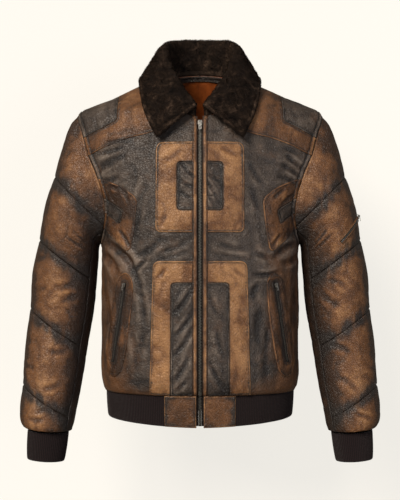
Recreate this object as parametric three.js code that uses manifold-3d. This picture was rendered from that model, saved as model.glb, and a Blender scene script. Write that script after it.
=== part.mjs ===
// A hip-length leather bomber jacket on an invisible wearer: pieced two-tone leather fronts,
// slant-quilted sleeves, a shearling collar, ribbed hem and cuffs, and four metal zips.
// Millimetres. +Z is up, the front faces -Y, the wearer's left is +X.
// The origin is the middle of the neck opening, level with the shoulder seams at the neck.
import * as THREE from "three";
import { mergeVertices } from "three/addons/utils/BufferGeometryUtils.js";
import Module from "manifold-3d";

const wasm = await Module();
wasm.setup();

// ---------- Driving dimensions ----------
const LEATHER = 1.8; // body leather with its backing
const APPLIQUE = 1.3; // leather laid on a front
const GAP = 0.3; // between neighbouring pieces at a seam
const RIB = 3.0; // knitted rib
const FUR = 9.0; // sheared wool with its hide
const LINING = 1.2;
const PUFF = 3.0; // how far a quilted sleeve band swells between its seams
const DEGREE = Math.PI / 180;

const SHOULDER_Z = -72; // the armhole's highest point, at the shoulder seam
const UNDERARM_Z = -318;
const LEATHER_BOTTOM_Z = -595;
const FRONT_NECK_Z = -85;
const BACK_NECK_Z = 13;
const NECK_HALF_WIDTH = 72;
const HEM_FRONT_Z = -654;
const HEM_SIDE_Z = -644;
const HEM_MIDDLE_Z = -620;
const HEM_INSET = 2.4; // the hem sits this far inside the leather's line
const TAB_LEATHER = 1.8;
const SLEEVE_END_Z = -663;
const CUFF_DROP = 53;
const CUFF_TOP_RADIUS = 38.5;
const CUFF_END_RADIUS = 34.5;
const ARMHOLE_FRONT_TURN = 30.5 * DEGREE; // how far the armhole cuts into the front's section
const ARMHOLE_BACK_TURN = 25 * DEGREE;
const ROUND_STEPS = 20; // pieces that meet at the armhole share their points' angles
const ROUND_STEP = (2 * Math.PI) / ROUND_STEPS;
const TOP_SLEEVE_STEPS = 8; // on each side of the sleeve's top line, then comes the under sleeve
const ARMHOLE_EASE = 110; // the ring height over which the armhole's own shape fades out

// The body's horizontal sections: height, half width, depth in front, depth behind, squareness.
const BODY_SECTIONS = [
  [-655, 177, 131, 112, 2.4],
  [-595, 181, 135, 114, 2.4],
  [-586, 185.5, 139.5, 117.5, 2.4],
  [-565, 188, 142, 120, 2.4],
  [-450, 188, 141, 117, 2.4],
  [-320, 188, 137, 121, 2.35],
  [-280, 189, 135, 124, 2.3],
  [-238, 198, 131, 125, 2.3],
  [-191, 219, 125, 123, 2.2],
  [-154, 234, 117, 119, 2.15],
  [-109, 237, 104, 112, 2.05],
  [-72, 230, 89, 104, 2.0],
  [-57, 201, 78, 98, 2.0],
  [-46, 172, 68, 93, 2.0],
  [-34, 146, 59, 88, 2.0],
  [-23, 122, 52, 82, 2.0],
  [0, 72, 40, 72, 2.0],
  [14, 58, 32, 66, 2.0],
];

// A sleeve's rings: outer point x and z, inner point x and z, half depth, how far forward.
const SLEEVE_RINGS = [
  [229.5, -72, 188, -318, 66, 0],
  [245, -92, 190.4, -319.5, 68, -1],
  [257, -126, 191.8, -322, 70, -1],
  [272, -173, 192.8, -326, 71, -1],
  [292, -242, 193.4, -333, 71, 0],
  [307, -315, 194.4, -350, 70, 1],
  [317, -370, 197.5, -390, 69, 1],
  [322, -426, 202, -440, 67, -2],
  [328, -495, 213, -506, 64, -10],
  [333, -564, 222.5, -574, 60, -22],
  [336, -630, 234.5, -640, 55, -37],
  [335.5, -650, 237.5, -658, 53, -42],
  [330, -663, 241, -669, 50, -45],
];

// The slanted sleeve seams: a point on each in the front view, and its rise for each mm outwards.
const SLANT_SEAMS = [
  { x: 279, z: -190, rise: 0.98 },
  { x: 307, z: -312, rise: 0.74 },
  { x: 324, z: -442, rise: 0.7 },
  { x: 336, z: -584, rise: 0.64 },
];

// The collar, from the middle of the back to its front end: roll line, and outer edge.
const COLLAR_ROLL = [
  [0, 76, 80],
  [32, 70, 80],
  [58, 48, 74],
  [68, 12, 58],
  [62, -30, 26],
  [39, -72, -22],
  [7.5, -101, -68],
];
const COLLAR_EDGE = [
  [0, 95, -6],
  [50, 87, -7],
  [94, 53, -4],
  [112, 8, -3],
  [113, -45, -27],
  [103, -93, -76],
  [79, -121, -127],
];

// ---------- Curves through a few hand-set values ----------
// A smooth curve through rows of [key, ...values], read at any key.
function smoothTable(rows) {
  const slope = rows.map((row, i) => {
    const before = rows[Math.max(i - 1, 0)];
    const after = rows[Math.min(i + 1, rows.length - 1)];
    return row.map((_, c) => (after[c] - before[c]) / (after[0] - before[0]));
  });
  return (key) => {
    let i = rows.findIndex((row, k) => k > 0 && key <= row[0]) - 1;
    if (i < 0) i = key <= rows[0][0] ? 0 : rows.length - 2;
    const [low, high] = [rows[i], rows[i + 1]];
    const span = high[0] - low[0];
    const t = THREE.MathUtils.clamp((key - low[0]) / span, 0, 1);
    const [t2, t3] = [t * t, t * t * t];
    return low.map(
      (value, c) =>
        (2 * t3 - 3 * t2 + 1) * value +
        (t3 - 2 * t2 + t) * span * slope[i][c] +
        (3 * t2 - 2 * t3) * high[c] +
        (t3 - t2) * span * slope[i + 1][c],
    );
  };
}

const bodySection = smoothTable(BODY_SECTIONS);
const sleeveRing = smoothTable(SLEEVE_RINGS.map((r) => [-r[1], ...r]));
const mix = THREE.MathUtils.lerp;
const mixPoint = (a, b, t) => [mix(a[0], b[0], t), mix(a[1], b[1], t)];

// ---------- The body's surface ----------
// A point on the front (side = -1) or back (side = 1) from its x and z.
function bodyPoint(x, z, side) {
  const [, width, front, back, square] = bodySection(z);
  const share = Math.min(Math.abs(x) / width, 1);
  const depth = (side < 0 ? front : back) * (1 - share ** square) ** (1 / square);
  return new THREE.Vector3(Math.sign(x) * share * width, side * depth, z);
}

// The same, from the turn about the vertical axis: 0 is the middle, 90 degrees the side seam.
function bodyTurn(turn, z, side) {
  const [, width, , , square] = bodySection(z);
  const across = width * Math.abs(Math.sin(turn)) ** (2 / square);
  return bodyPoint(Math.sign(turn) * across, z, side);
}

// The outward normal, from the section's own equation.
function bodyNormal(point) {
  const level = (x, y, z) => {
    const [, width, front, back, square] = bodySection(z);
    const depth = y < 0 ? front : back;
    return Math.abs(x / width) ** square + Math.abs(y / depth) ** square;
  };
  const step = 0.5;
  const { x, y, z } = point;
  return new THREE.Vector3(
    level(x + step, y, z) - level(x - step, y, z),
    level(x, y + step, z) - level(x, y - step, z),
    level(x, y, z + step) - level(x, y, z - step),
  ).normalize();
}

// The neck seam, by the angle about the neck: 0 is the front, 180 degrees the back.
function neckSeam(angle) {
  const x = NECK_HALF_WIDTH * Math.sin(angle);
  const cos = Math.cos(angle);
  const z = cos > 0 ? FRONT_NECK_Z * cos ** 0.8 : BACK_NECK_Z * cos * cos;
  return [x, z];
}

// The armhole, by the angle about the sleeve: 0 is the shoulder seam, 180 degrees the underarm.
function armhole(angle) {
  const middle = (SHOULDER_Z + UNDERARM_Z) / 2;
  const z = middle + ((SHOULDER_Z - UNDERARM_Z) / 2) * Math.cos(angle);
  const side = Math.sin(angle) >= 0 ? -1 : 1;
  const cut = side < 0 ? ARMHOLE_FRONT_TURN : ARMHOLE_BACK_TURN;
  const turn = Math.PI / 2 - cut * Math.abs(Math.sin(angle));
  return { turn, z, side, point: bodyTurn(turn, z, side) };
}

// The turn of a point that is known by its x and z.
function turnOf(x, z) {
  const [, width, , , square] = bodySection(z);
  return Math.asin(Math.min(x / width, 1) ** (square / 2));
}

// ---------- The sleeve's surface (the wearer's left) ----------
function sleeveEllipse(angle, height) {
  const [, ox, oz, ix, iz, depth, forward] = sleeveRing(-height);
  const cos = Math.cos(angle);
  return new THREE.Vector3(
    (ox + ix) / 2 + ((ox - ix) / 2) * cos,
    forward - depth * Math.sin(angle),
    (oz + iz) / 2 + ((oz - iz) / 2) * cos,
  );
}

// By the angle about the sleeve and the height of the ring's outer point.
function sleevePoint(angle, height) {
  const point = sleeveEllipse(angle, height);
  const away = THREE.MathUtils.smoothstep(SHOULDER_Z - height, 0, ARMHOLE_EASE);
  const start = armhole(angle).point.sub(sleeveEllipse(angle, SHOULDER_Z));
  return point.addScaledVector(start, 1 - away);
}

function sleeveNormal(angle, height) {
  const [da, dh] = [0.01, 1];
  const top = Math.min(height + dh, SHOULDER_Z);
  const along = sleevePoint(angle, top).sub(sleevePoint(angle, top - 2 * dh));
  const around = sleevePoint(angle + da, height).sub(sleevePoint(angle - da, height));
  return around.cross(along).normalize().negate();
}

// Where a wall of the body meets one of the sleeve, both lean half way.
function armholeNormal(angle) {
  const { point } = armhole(angle);
  return bodyNormal(point).add(sleeveNormal(angle, SHOULDER_Z)).normalize();
}

// The ring height at which a slanted seam crosses one line along the sleeve.
function seamHeight(seam, angle) {
  let [high, low] = [SHOULDER_Z, SLEEVE_END_Z];
  for (let i = 0; i < 30; i++) {
    const middle = (high + low) / 2;
    const p = sleevePoint(angle, middle);
    if (p.z - seam.z > seam.rise * (p.x - seam.x)) high = middle;
    else low = middle;
  }
  return (high + low) / 2;
}

// ---------- Walls ----------
// A closed wall of cloth from rows of { point, normal }: the surface moved out and in along it.
// Either distance may be a function of the column and the row.
function wall(rows, outer, inner, ring = false) {
  const [across, along] = [rows[0].length, rows.length];
  const positions = [];
  for (const distance of [outer, inner])
    rows.forEach((row, j) =>
      row.forEach(({ point, normal }, i) => {
        const move = typeof distance === "function" ? distance(i, j) : distance;
        const p = point.clone().addScaledVector(normal, move);
        positions.push(p.x, p.y, p.z);
      }),
    );
  const at = (layer, j, i) => layer * across * along + j * across + (i % across);
  const faces = [];
  const quad = (a, b, c, d) => faces.push(a, b, c, a, c, d);
  const last = ring ? across : across - 1;
  for (let j = 0; j + 1 < along; j++)
    for (let i = 0; i < last; i++) {
      quad(at(0, j, i), at(0, j, i + 1), at(0, j + 1, i + 1), at(0, j + 1, i));
      quad(at(1, j, i), at(1, j + 1, i), at(1, j + 1, i + 1), at(1, j, i + 1));
    }
  for (let i = 0; i < last; i++) {
    quad(at(0, 0, i), at(1, 0, i), at(1, 0, i + 1), at(0, 0, i + 1));
    const top = along - 1;
    quad(at(0, top, i), at(0, top, i + 1), at(1, top, i + 1), at(1, top, i));
  }
  if (!ring)
    for (let j = 0; j + 1 < along; j++) {
      quad(at(0, j, 0), at(0, j + 1, 0), at(1, j + 1, 0), at(1, j, 0));
      const end = across - 1;
      quad(at(0, j, end), at(1, j, end), at(1, j + 1, end), at(0, j + 1, end));
    }
  const geometry = new THREE.BufferGeometry();
  geometry.setAttribute("position", new THREE.Float32BufferAttribute(positions, 3));
  geometry.setIndex(faces);
  return volumeOf(geometry) < 0 ? turnedInsideOut(geometry) : geometry;
}

function volumeOf(geometry) {
  const [index, position] = [geometry.index.array, geometry.attributes.position];
  const [a, b, c] = [new THREE.Vector3(), new THREE.Vector3(), new THREE.Vector3()];
  let volume = 0;
  for (let i = 0; i < index.length; i += 3) {
    a.fromBufferAttribute(position, index[i]);
    b.fromBufferAttribute(position, index[i + 1]);
    c.fromBufferAttribute(position, index[i + 2]);
    volume += a.dot(b.cross(c)) / 6;
  }
  return volume;
}

function turnedInsideOut(geometry) {
  const index = geometry.index.array;
  for (let i = 0; i < index.length; i += 3) [index[i], index[i + 1]] = [index[i + 1], index[i]];
  return geometry;
}

// ---------- Solids that are cut by their neighbours ----------
function solid(geometry) {
  const bare = geometry.clone();
  bare.deleteAttribute("normal");
  bare.deleteAttribute("uv");
  const merged = mergeVertices(bare, 1e-4);
  return new wasm.Manifold(
    new wasm.Mesh({
      numProp: 3,
      vertProperties: merged.attributes.position.array,
      triVerts: new Uint32Array(merged.index.array),
    }),
  );
}

function geometryOf(manifold) {
  const mesh = manifold.getMesh();
  const geometry = new THREE.BufferGeometry();
  geometry.setAttribute("position", new THREE.BufferAttribute(mesh.vertProperties, 3));
  geometry.setIndex(new THREE.BufferAttribute(mesh.triVerts, 1));
  return geometry;
}

// An upright plate with an outline of [x, z, corner radius] points, from behind the body to its front.
const PLATE_FRONT = -170;
const THROUGH_FRONT = 180;
const THROUGH_BACK = 400;
function plate(points, hole, depth = THROUGH_FRONT) {
  const shape = new THREE.Shape(rounded(points));
  if (hole) shape.holes.push(new THREE.Path(rounded(hole)));
  const geometry = new THREE.ExtrudeGeometry(shape, { depth, bevelEnabled: false });
  return solid(geometry.rotateX(Math.PI / 2).translate(0, PLATE_FRONT + depth, 0));
}

function rounded(points) {
  const line = [];
  points.forEach(([x, z, radius = 0], i) => {
    const corner = new THREE.Vector2(x, z);
    if (!radius) return line.push(corner);
    const toward = (j) => {
      const other = points[(j + points.length) % points.length];
      return new THREE.Vector2(other[0], other[1]).sub(corner).setLength(radius).add(corner);
    };
    const curve = new THREE.QuadraticBezierCurve(toward(i - 1), corner, toward(i + 1));
    line.push(...curve.getPoints(radius > 5 ? 4 : 2));
  });
  return line;
}

// ---------- Colours and meshes ----------
const leather = (color, roughness) =>
  new THREE.MeshStandardMaterial({ color, roughness, metalness: 0 });
const FINISH = {
  dark: leather(0x4b423c, 0.5),
  tan: leather(0x8d6340, 0.52),
  fur: leather(0x241c18, 0.95),
  rib: leather(0x241719, 0.9),
  lining: leather(0xa4571f, 0.5),
  tape: leather(0x17151a, 0.85),
  metal: new THREE.MeshStandardMaterial({ color: 0x6c6a67, roughness: 0.35, metalness: 1 }),
};

const jacket = new THREE.Group();

function add(name, geometry, finish) {
  const mesh = new THREE.Mesh(geometry, finish);
  mesh.name = name;
  jacket.add(mesh);
  return mesh;
}

// The same piece for the wearer's right, made from the left one's points.
function mirrored(geometry) {
  const copy = geometry.clone().scale(-1, 1, 1);
  return turnedInsideOut(copy);
}

function addPair(name, geometry, finish) {
  add(`${name}_left`, geometry, finish);
  add(`${name}_right`, mirrored(geometry), finish);
}

// ---------- Fronts and back ----------
const halfSeam = GAP / 2;
const FRONT_EDGE_X = 6.3; // where a front stops beside the zip
const BODY_ROWS_HIGH = ROUND_STEPS / 2;
const NECK_SHARE = 0.6; // the share of the upper rows below the neck seam
const LOW_HEIGHTS = [LEATHER_BOTTOM_Z, -583, -560, -480, -390];

// One row after another of a front or back. Each runs from the zip, the back's middle or the neck
// seam to the side seam or the armhole, evenly in turn and height.
function bodyRows(side, columns, innerX) {
  const rows = [];
  const shift = new THREE.Vector3(0, side * halfSeam, 0);
  const cell = (turn, z, normal) => {
    const point = bodyTurn(turn, z, side);
    return { point: point.clone().add(shift), normal: normal ?? bodyNormal(point) };
  };
  const innerTurn = (z) => turnOf(innerX, z);
  const steps = Array.from({ length: columns + 1 }, (_, i) => i / columns);
  for (const z of LOW_HEIGHTS) rows.push(steps.map((t) => cell(mix(innerTurn(z), Math.PI / 2, t), z)));
  const neckZ = side < 0 ? FRONT_NECK_Z : BACK_NECK_Z;
  for (let j = 0; j <= BODY_ROWS_HIGH; j++) {
    const u = j / BODY_ROWS_HIGH;
    const angle = Math.PI * (1 - u);
    const outer = armhole(side < 0 ? angle : -angle);
    let inner;
    if (u < NECK_SHARE) {
      const z = mix(UNDERARM_Z, neckZ, u / NECK_SHARE);
      inner = [innerTurn(z), z];
    } else {
      const v = (u - NECK_SHARE) / (1 - NECK_SHARE);
      const [start, end] = [side < 0 ? Math.asin(innerX / NECK_HALF_WIDTH) : Math.PI, Math.PI / 2];
      const [x, z] = neckSeam(mix(start, end, v));
      inner = [turnOf(v > 0 ? Math.max(x, innerX) : innerX, z), z];
    }
    const seamNormal = armholeNormal(side < 0 ? angle : -angle);
    rows.push(
      steps.map((t) => cell(...mixPoint(inner, [outer.turn, outer.z], t), t === 1 ? seamNormal : undefined)),
    );
  }
  return rows;
}

const frontRows = bodyRows(-1, 8, FRONT_EDGE_X);
addPair("front", wall(frontRows, 0, -LEATHER), FINISH.dark);

// The back is one piece: a left half joined to its mirror image at the middle.
const backRows = bodyRows(1, 6, 0);
function bothHalves(rows, outer, inner) {
  const half = wall(rows, outer, inner);
  return solid(half).add(solid(mirrored(half)));
}
add("back", geometryOf(bothHalves(backRows, 0, -LEATHER)), FINISH.dark);

// The lining that shows inside the back of the neck, from the neck seam to below the shoulders.
const LINING_TOP = -LEATHER - GAP;
const liningRows = backRows.slice(LOW_HEIGHTS.length + 4).map((row) => row.slice(0, -1));
add("lining_back", geometryOf(bothHalves(liningRows, LINING_TOP, LINING_TOP - LINING)), FINISH.lining);

// The leather strip that covers the collar seam inside the back of the neck.
const BINDING_TOP = LINING_TOP - LINING - GAP;
const BINDING = { thick: 1.4, drop: 10 };
const bindingEdge = Array.from({ length: 9 }, (_, i) => neckSeam(Math.PI * mix(0.66, 1.34, i / 8)));
const bindingOutline = bindingEdge.map(([x, z]) => [x, z - BINDING.drop]);
const ABOVE = 20; // above every shoulder
bindingOutline.push([bindingEdge[8][0], ABOVE], [bindingEdge[0][0], ABOVE]);
const bindingLayer = bothHalves(backRows, BINDING_TOP, BINDING_TOP - BINDING.thick);
const binding = bindingLayer.intersect(plate(bindingOutline, undefined, THROUGH_BACK));
add("neck_binding", geometryOf(binding), FINISH.dark);

// ---------- Leather laid on the fronts ----------
// A layer a seam's gap above a front, from the front's own points, cut to each piece's outline.
const laidLayer = solid(wall(frontRows, GAP + APPLIQUE, GAP));

function laid(name, finish, points, hole) {
  addPair(name, geometryOf(laidLayer.intersect(plate(points, hole))), finish);
}

const BAND_X = 14.3; // where the leather beside the zip's border starts
const LAID_BOTTOM_Z = LEATHER_BOTTOM_Z + 1;
const BESIDE = 245; // outside every armhole

laid("zip_border", FINISH.tan, [
  [2, LAID_BOTTOM_Z], [BAND_X - GAP, LAID_BOTTOM_Z], [BAND_X - GAP, ABOVE], [2, ABOVE],
]);

// The tan square frame on the chest, and the dark square in it.
const FRAME = { top: -133, bottom: -299, side: 80.5 };
const SQUARE = { top: -170, bottom: -258.5, side: 42 };
laid("chest_frame", FINISH.tan, [
  [BAND_X, FRAME.top], [BAND_X, SQUARE.top], [SQUARE.side, SQUARE.top, 8], [SQUARE.side, SQUARE.bottom, 8],
  [BAND_X, SQUARE.bottom], [BAND_X, FRAME.bottom], [FRAME.side, FRAME.bottom, 12],
  [FRAME.side, FRAME.top, 16],
]);
laid("chest_inset", FINISH.dark, [
  [BAND_X, SQUARE.top - GAP], [BAND_X, SQUARE.bottom + GAP],
  [SQUARE.side - GAP, SQUARE.bottom + GAP, 8], [SQUARE.side - GAP, SQUARE.top - GAP, 8],
]);

// The tan arch on the belly, and the dark panel in it.
const ARCH = { top: -351, side: 85.5, foot: 91.8 };
const PANEL = { top: -390.5, side: 52.2, foot: 53 };
laid("belly_arch", FINISH.tan, [
  [BAND_X, ARCH.top], [BAND_X, PANEL.top], [PANEL.side, PANEL.top, 7], [PANEL.foot, LAID_BOTTOM_Z],
  [ARCH.foot, LAID_BOTTOM_Z], [ARCH.side, ARCH.top, 14],
]);
laid("belly_inset", FINISH.dark, [
  [BAND_X, PANEL.top - GAP], [BAND_X, LAID_BOTTOM_Z],
  [PANEL.foot - GAP, LAID_BOTTOM_Z], [PANEL.side - GAP, PANEL.top - GAP, 7],
]);

// The tan patch that runs into the armhole, and the dark flash let into it from the armhole.
laid("side_patch", FINISH.tan, [
  [BESIDE, -192], [186, -198, 12], [158, -208, 10], [139, -217, 8], [114, -237, 12], [120, -298, 12],
  [129, -338, 14], [166, -304, 8], [178, -290, 6], [BESIDE, -280],
  [BESIDE, -262], [174, -262, 3], [146.5, -283, 4], [141, -257.5, 5], [177, -234, 3], [BESIDE, -230],
]);
laid("side_flash", FINISH.dark, [
  [BESIDE, -261.6], [173.8, -261.6, 3], [147, -282.3, 4], [141.6, -257.7, 5], [177.2, -234.4, 3],
  [BESIDE, -230.4],
]);

// The tan yoke from the neck to the armhole, and the dark cap at the shoulder point.
const CAP = { x: 154, z: -90, slope: -0.484 };
const capEdge = (x, below) => CAP.z - below + CAP.slope * (x - CAP.x);
laid("yoke", FINISH.tan, [
  [40, ABOVE], [40, -92], [95, -117, 10], [129, -124, 12], [168, -137, 12], [190, -147, 10],
  [BESIDE, -173],
  [BESIDE, capEdge(BESIDE, 0.5)], [CAP.x - 0.4, CAP.z - 0.5, 7], [CAP.x - 0.4, ABOVE],
]);
laid("shoulder_cap", FINISH.dark, [
  [CAP.x, ABOVE], [CAP.x, CAP.z, 7], [BESIDE, capEdge(BESIDE, 0)], [BESIDE, ABOVE],
]);

// The pocket frame, and the zip's tape and chain in its slot.
const POCKET_TOP = [137.4, -391];
const POCKET_BOTTOM = [161, -538];
const slot = (half) => [
  [POCKET_TOP[0] - half, POCKET_TOP[1], 2], [POCKET_BOTTOM[0] - half, POCKET_BOTTOM[1], 2],
  [POCKET_BOTTOM[0] + half, POCKET_BOTTOM[1], 2], [POCKET_TOP[0] + half, POCKET_TOP[1], 2],
];
const pocketOutline = [
  [134, -370, 8], [120.5, -387, 10], [125, -443], [133.7, -509], [145, -556, 10],
  [158, -567, 6], [170, -560, 6], [175, -535], [170, -493], [161, -433.5], [153, -382, 12],
];
laid("pocket_frame", FINISH.tan, pocketOutline, slot(3.4));
laid("pocket_zip", FINISH.tape, slot(3.1));

// ---------- Hem ----------
const TAB_X = 65.4; // where the leather tab at the hem ends and the rib begins
const HEM_HALF_WIDTH = 178;
const hemBottom = (x) =>
  mix(HEM_FRONT_Z, HEM_SIDE_Z, Math.min(Math.abs(x) / HEM_HALF_WIDTH, 1) ** 1.5);
const HEM_TOP_Z = LEATHER_BOTTOM_Z - GAP;
const hemCell = (turn, share, side) => {
  const x = bodyTurn(turn, HEM_MIDDLE_Z, side).x;
  const z = mix(hemBottom(x), HEM_TOP_Z, share);
  const point = bodyTurn(turn, z, side);
  const normal = bodyNormal(bodyTurn(turn, HEM_MIDDLE_Z, side));
  return { point: point.addScaledVector(normal, -HEM_INSET), normal };
};

const tabRows = [0, 1].map((share) =>
  [FRONT_EDGE_X + GAP, 26, 46, TAB_X - GAP].map((x) => hemCell(turnOf(x, HEM_MIDDLE_Z), share, -1)),
);
addPair("hem_tab", wall(tabRows, TAB_LEATHER, 0), FINISH.tan);

const RIB_STEPS = 10;
const ribStart = turnOf(TAB_X, HEM_MIDDLE_Z);
const ribTurns = [
  ...Array.from({ length: RIB_STEPS + 1 }, (_, i) => [mix(ribStart, Math.PI / 2, i / RIB_STEPS), -1]),
  ...Array.from({ length: RIB_STEPS }, (_, i) => [mix(Math.PI / 2, 0, (i + 1) / RIB_STEPS), 1]),
];
const ribRows = [0, 1].map((share) => {
  const left = ribTurns.map(([turn, side]) => hemCell(turn, share, side));
  const right = left.slice(0, -1).map(({ point, normal }) => ({
    point: point.clone().setX(-point.x),
    normal: normal.clone().setX(-normal.x),
  }));
  return [...left, ...right.reverse()];
});
add("hem_rib", wall(ribRows, 0, -RIB), FINISH.rib);

// ---------- Sleeves ----------
const SLEEVE_GAP = 0.4; // the sleeve starts this far outside the armhole
const BAND_STEPS = 2;
const LEAST_STEP = 12; // of ring height, where a slanted seam has run out at the armhole
const LONG_SEAM_HALF = 0.15 * DEGREE;

// The ring heights of the points on one line along the sleeve: its ends, the seams and between.
function heightsAt(angle) {
  const stops = [SHOULDER_Z];
  for (const seam of [...SLANT_SEAMS, null]) {
    const height = seam ? seamHeight(seam, angle) : SLEEVE_END_Z;
    const from = stops[stops.length - 1];
    const to = Math.min(height, from - BAND_STEPS * LEAST_STEP);
    for (let i = 1; i <= BAND_STEPS; i++) stops.push(mix(from, to, i / BAND_STEPS));
  }
  return stops;
}

// Points of the sleeve between two of its lines, numbered by the angle step.
function sleeveRows(fromStep, toStep) {
  const columns = [];
  for (let step = fromStep; step <= toStep; step++) {
    const angle = step * ROUND_STEP;
    let apart = 0;
    if (step === fromStep) apart = LONG_SEAM_HALF;
    if (step === toStep) apart = -LONG_SEAM_HALF;
    columns.push(
      heightsAt(angle).map((height, j) => {
        const point = sleevePoint(angle + apart, height);
        point.x += SLEEVE_GAP;
        return { point, normal: j === 0 ? armholeNormal(angle) : sleeveNormal(angle, height) };
      }),
    );
  }
  return columns[0].map((_, j) => columns.map((column) => column[j]));
}

const topRows = sleeveRows(-TOP_SLEEVE_STEPS, TOP_SLEEVE_STEPS);
const puff = (i, j) =>
  PUFF *
  Math.abs(Math.sin((Math.PI * j) / BAND_STEPS)) *
  Math.sin((Math.PI * i) / (2 * TOP_SLEEVE_STEPS)) ** 0.5;

// The seam planes cut the top sleeve into its bands.
const seamCut = ({ x, z, rise }) =>
  solid(new THREE.BoxGeometry(500, 300, GAP).rotateY(-Math.atan(rise)).translate(x, 0, z));
const topSleeve = SLANT_SEAMS.reduce(
  (left, seam) => left.subtract(seamCut(seam)),
  solid(wall(topRows, puff, -LEATHER)),
);
const middleHeight = (piece) => piece.boundingBox().max[2] + piece.boundingBox().min[2];
topSleeve
  .decompose()
  .sort((a, b) => middleHeight(b) - middleHeight(a))
  .forEach((band, k) => addPair(`sleeve_band_${k + 1}`, geometryOf(band), FINISH.tan));

const underRows = sleeveRows(TOP_SLEEVE_STEPS, ROUND_STEPS - TOP_SLEEVE_STEPS);
addPair("under_sleeve", wall(underRows, 0, -LEATHER), FINISH.tan);

// ---------- Cuffs ----------
const CUFF_SIDES = 18;
const CUFF_LEAN = new THREE.Vector3(4, -5, -CUFF_DROP); // from its top to its end
const CUFF_SEAM = { below: 2.2, tilt: 4.5 };
const cuffTop = sleeveEllipse(0, SLEEVE_END_Z).add(sleeveEllipse(Math.PI, SLEEVE_END_Z)).multiplyScalar(0.5);
const cuffRows = [0, 0.3, 0.65, 1].map((share) =>
  Array.from({ length: CUFF_SIDES }, (_, i) => {
    const angle = (i / CUFF_SIDES) * 2 * Math.PI;
    const normal = new THREE.Vector3(Math.cos(angle), -Math.sin(angle), 0);
    const radius = mix(CUFF_TOP_RADIUS, CUFF_END_RADIUS, share ** 0.7);
    const point = cuffTop.clone().addScaledVector(normal, radius).addScaledVector(CUFF_LEAN, share);
    point.z -= CUFF_SEAM.below + CUFF_SEAM.tilt * 0.5 * (1 - Math.cos(angle));
    return { point, normal };
  }),
);
addPair("cuff", wall(cuffRows, 0, -RIB, true), FINISH.rib);

// ---------- Collar ----------
const collarCurve = (points) => new THREE.CatmullRomCurve3(points.map((p) => new THREE.Vector3(...p)));
const rollLine = collarCurve(COLLAR_ROLL);
const edgeLine = collarCurve(COLLAR_EDGE);

const STAND_STEPS = 3;
const FALL_STEPS = 4;
const COLLAR_STEPS = 10; // on each side of the middle

// One profile of the collar's middle surface: up from the neck seam, over the roll, down the fall.
function collarProfile(t) {
  const angle = Math.PI * (1 - t) + Math.asin(7.5 / NECK_HALF_WIDTH) * t;
  const [x, z] = neckSeam(angle);
  const seam = bodyPoint(Math.max(x, 0), z, angle > Math.PI / 2 ? 1 : -1);
  const roll = rollLine.getPoint(t);
  const edge = edgeLine.getPoint(t);
  const out = new THREE.Vector3(roll.x, roll.y * 1.1, 0).normalize();
  seam.z += 2.5;
  seam.addScaledVector(out, -1);
  const up = roll.clone().sub(seam);
  const down = edge.clone().sub(roll);
  const points = [];
  const hermite = (a, ta, b, tb, s) => {
    const [s2, s3] = [s * s, s * s * s];
    return a
      .clone()
      .multiplyScalar(2 * s3 - 3 * s2 + 1)
      .addScaledVector(ta, s3 - 2 * s2 + s)
      .addScaledVector(b, 3 * s2 - 2 * s3)
      .addScaledVector(tb, s3 - s2);
  };
  const bend = out.clone().multiplyScalar(26);
  const rise = up.clone().multiplyScalar(1.3);
  for (let i = 0; i <= STAND_STEPS; i++) points.push(hermite(seam, rise, roll, bend, i / STAND_STEPS));
  const [over, fall] = [bend.clone().multiplyScalar(1.6), down.clone().multiplyScalar(1.25)];
  for (let i = 1; i <= FALL_STEPS; i++) points.push(hermite(roll, over, edge, fall, i / FALL_STEPS));
  return points;
}

function collarRows(steps) {
  const profiles = [];
  for (let j = -steps; j <= steps; j++) {
    const side = j < 0 ? -1 : 1;
    profiles.push(collarProfile(Math.abs(j) / steps).map((p) => p.setX(side * p.x)));
  }
  const last = STAND_STEPS + FALL_STEPS;
  const pick = (j, i) => profiles[THREE.MathUtils.clamp(j, 0, 2 * steps)][THREE.MathUtils.clamp(i, 0, last)];
  return profiles.map((profile, j) =>
    profile.map((point, i) => {
      const along = pick(j + 1, i).clone().sub(pick(j - 1, i));
      const up = pick(j, i + 1).clone().sub(pick(j, i - 1));
      return { point, normal: along.cross(up).normalize() };
    }),
  );
}
const furHalf = (i) => (i === 0 ? 1.2 : FUR / 2); // thin where it is sewn to the neck
add("collar", wall(collarRows(COLLAR_STEPS), furHalf, (i) => -furHalf(i)), FINISH.fur);

// ---------- Zips ----------
const ZIP_TOP_Z = -96;
const ZIP_END_Z = -651;
const CHAIN = { half: 2.7, below: 0.2, thick: 2.6 };
const TAPE = { edge: 15, below: LEATHER + GAP + 0.6, thick: 0.9 };
const zipHeights = [ZIP_END_Z, LEATHER_BOTTOM_Z - 1, ...LOW_HEIGHTS];
for (let j = 0; j < BODY_ROWS_HIGH; j++) {
  const z = mix(UNDERARM_Z, FRONT_NECK_Z, j / BODY_ROWS_HIGH / NECK_SHARE);
  if (z < ZIP_TOP_Z) zipHeights.push(z);
}
zipHeights.push(ZIP_TOP_Z);

const onFront = (x, z) => {
  const point = bodyPoint(x, z, -1);
  const normal = bodyNormal(point);
  point.y -= halfSeam;
  return { point, normal };
};
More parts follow.
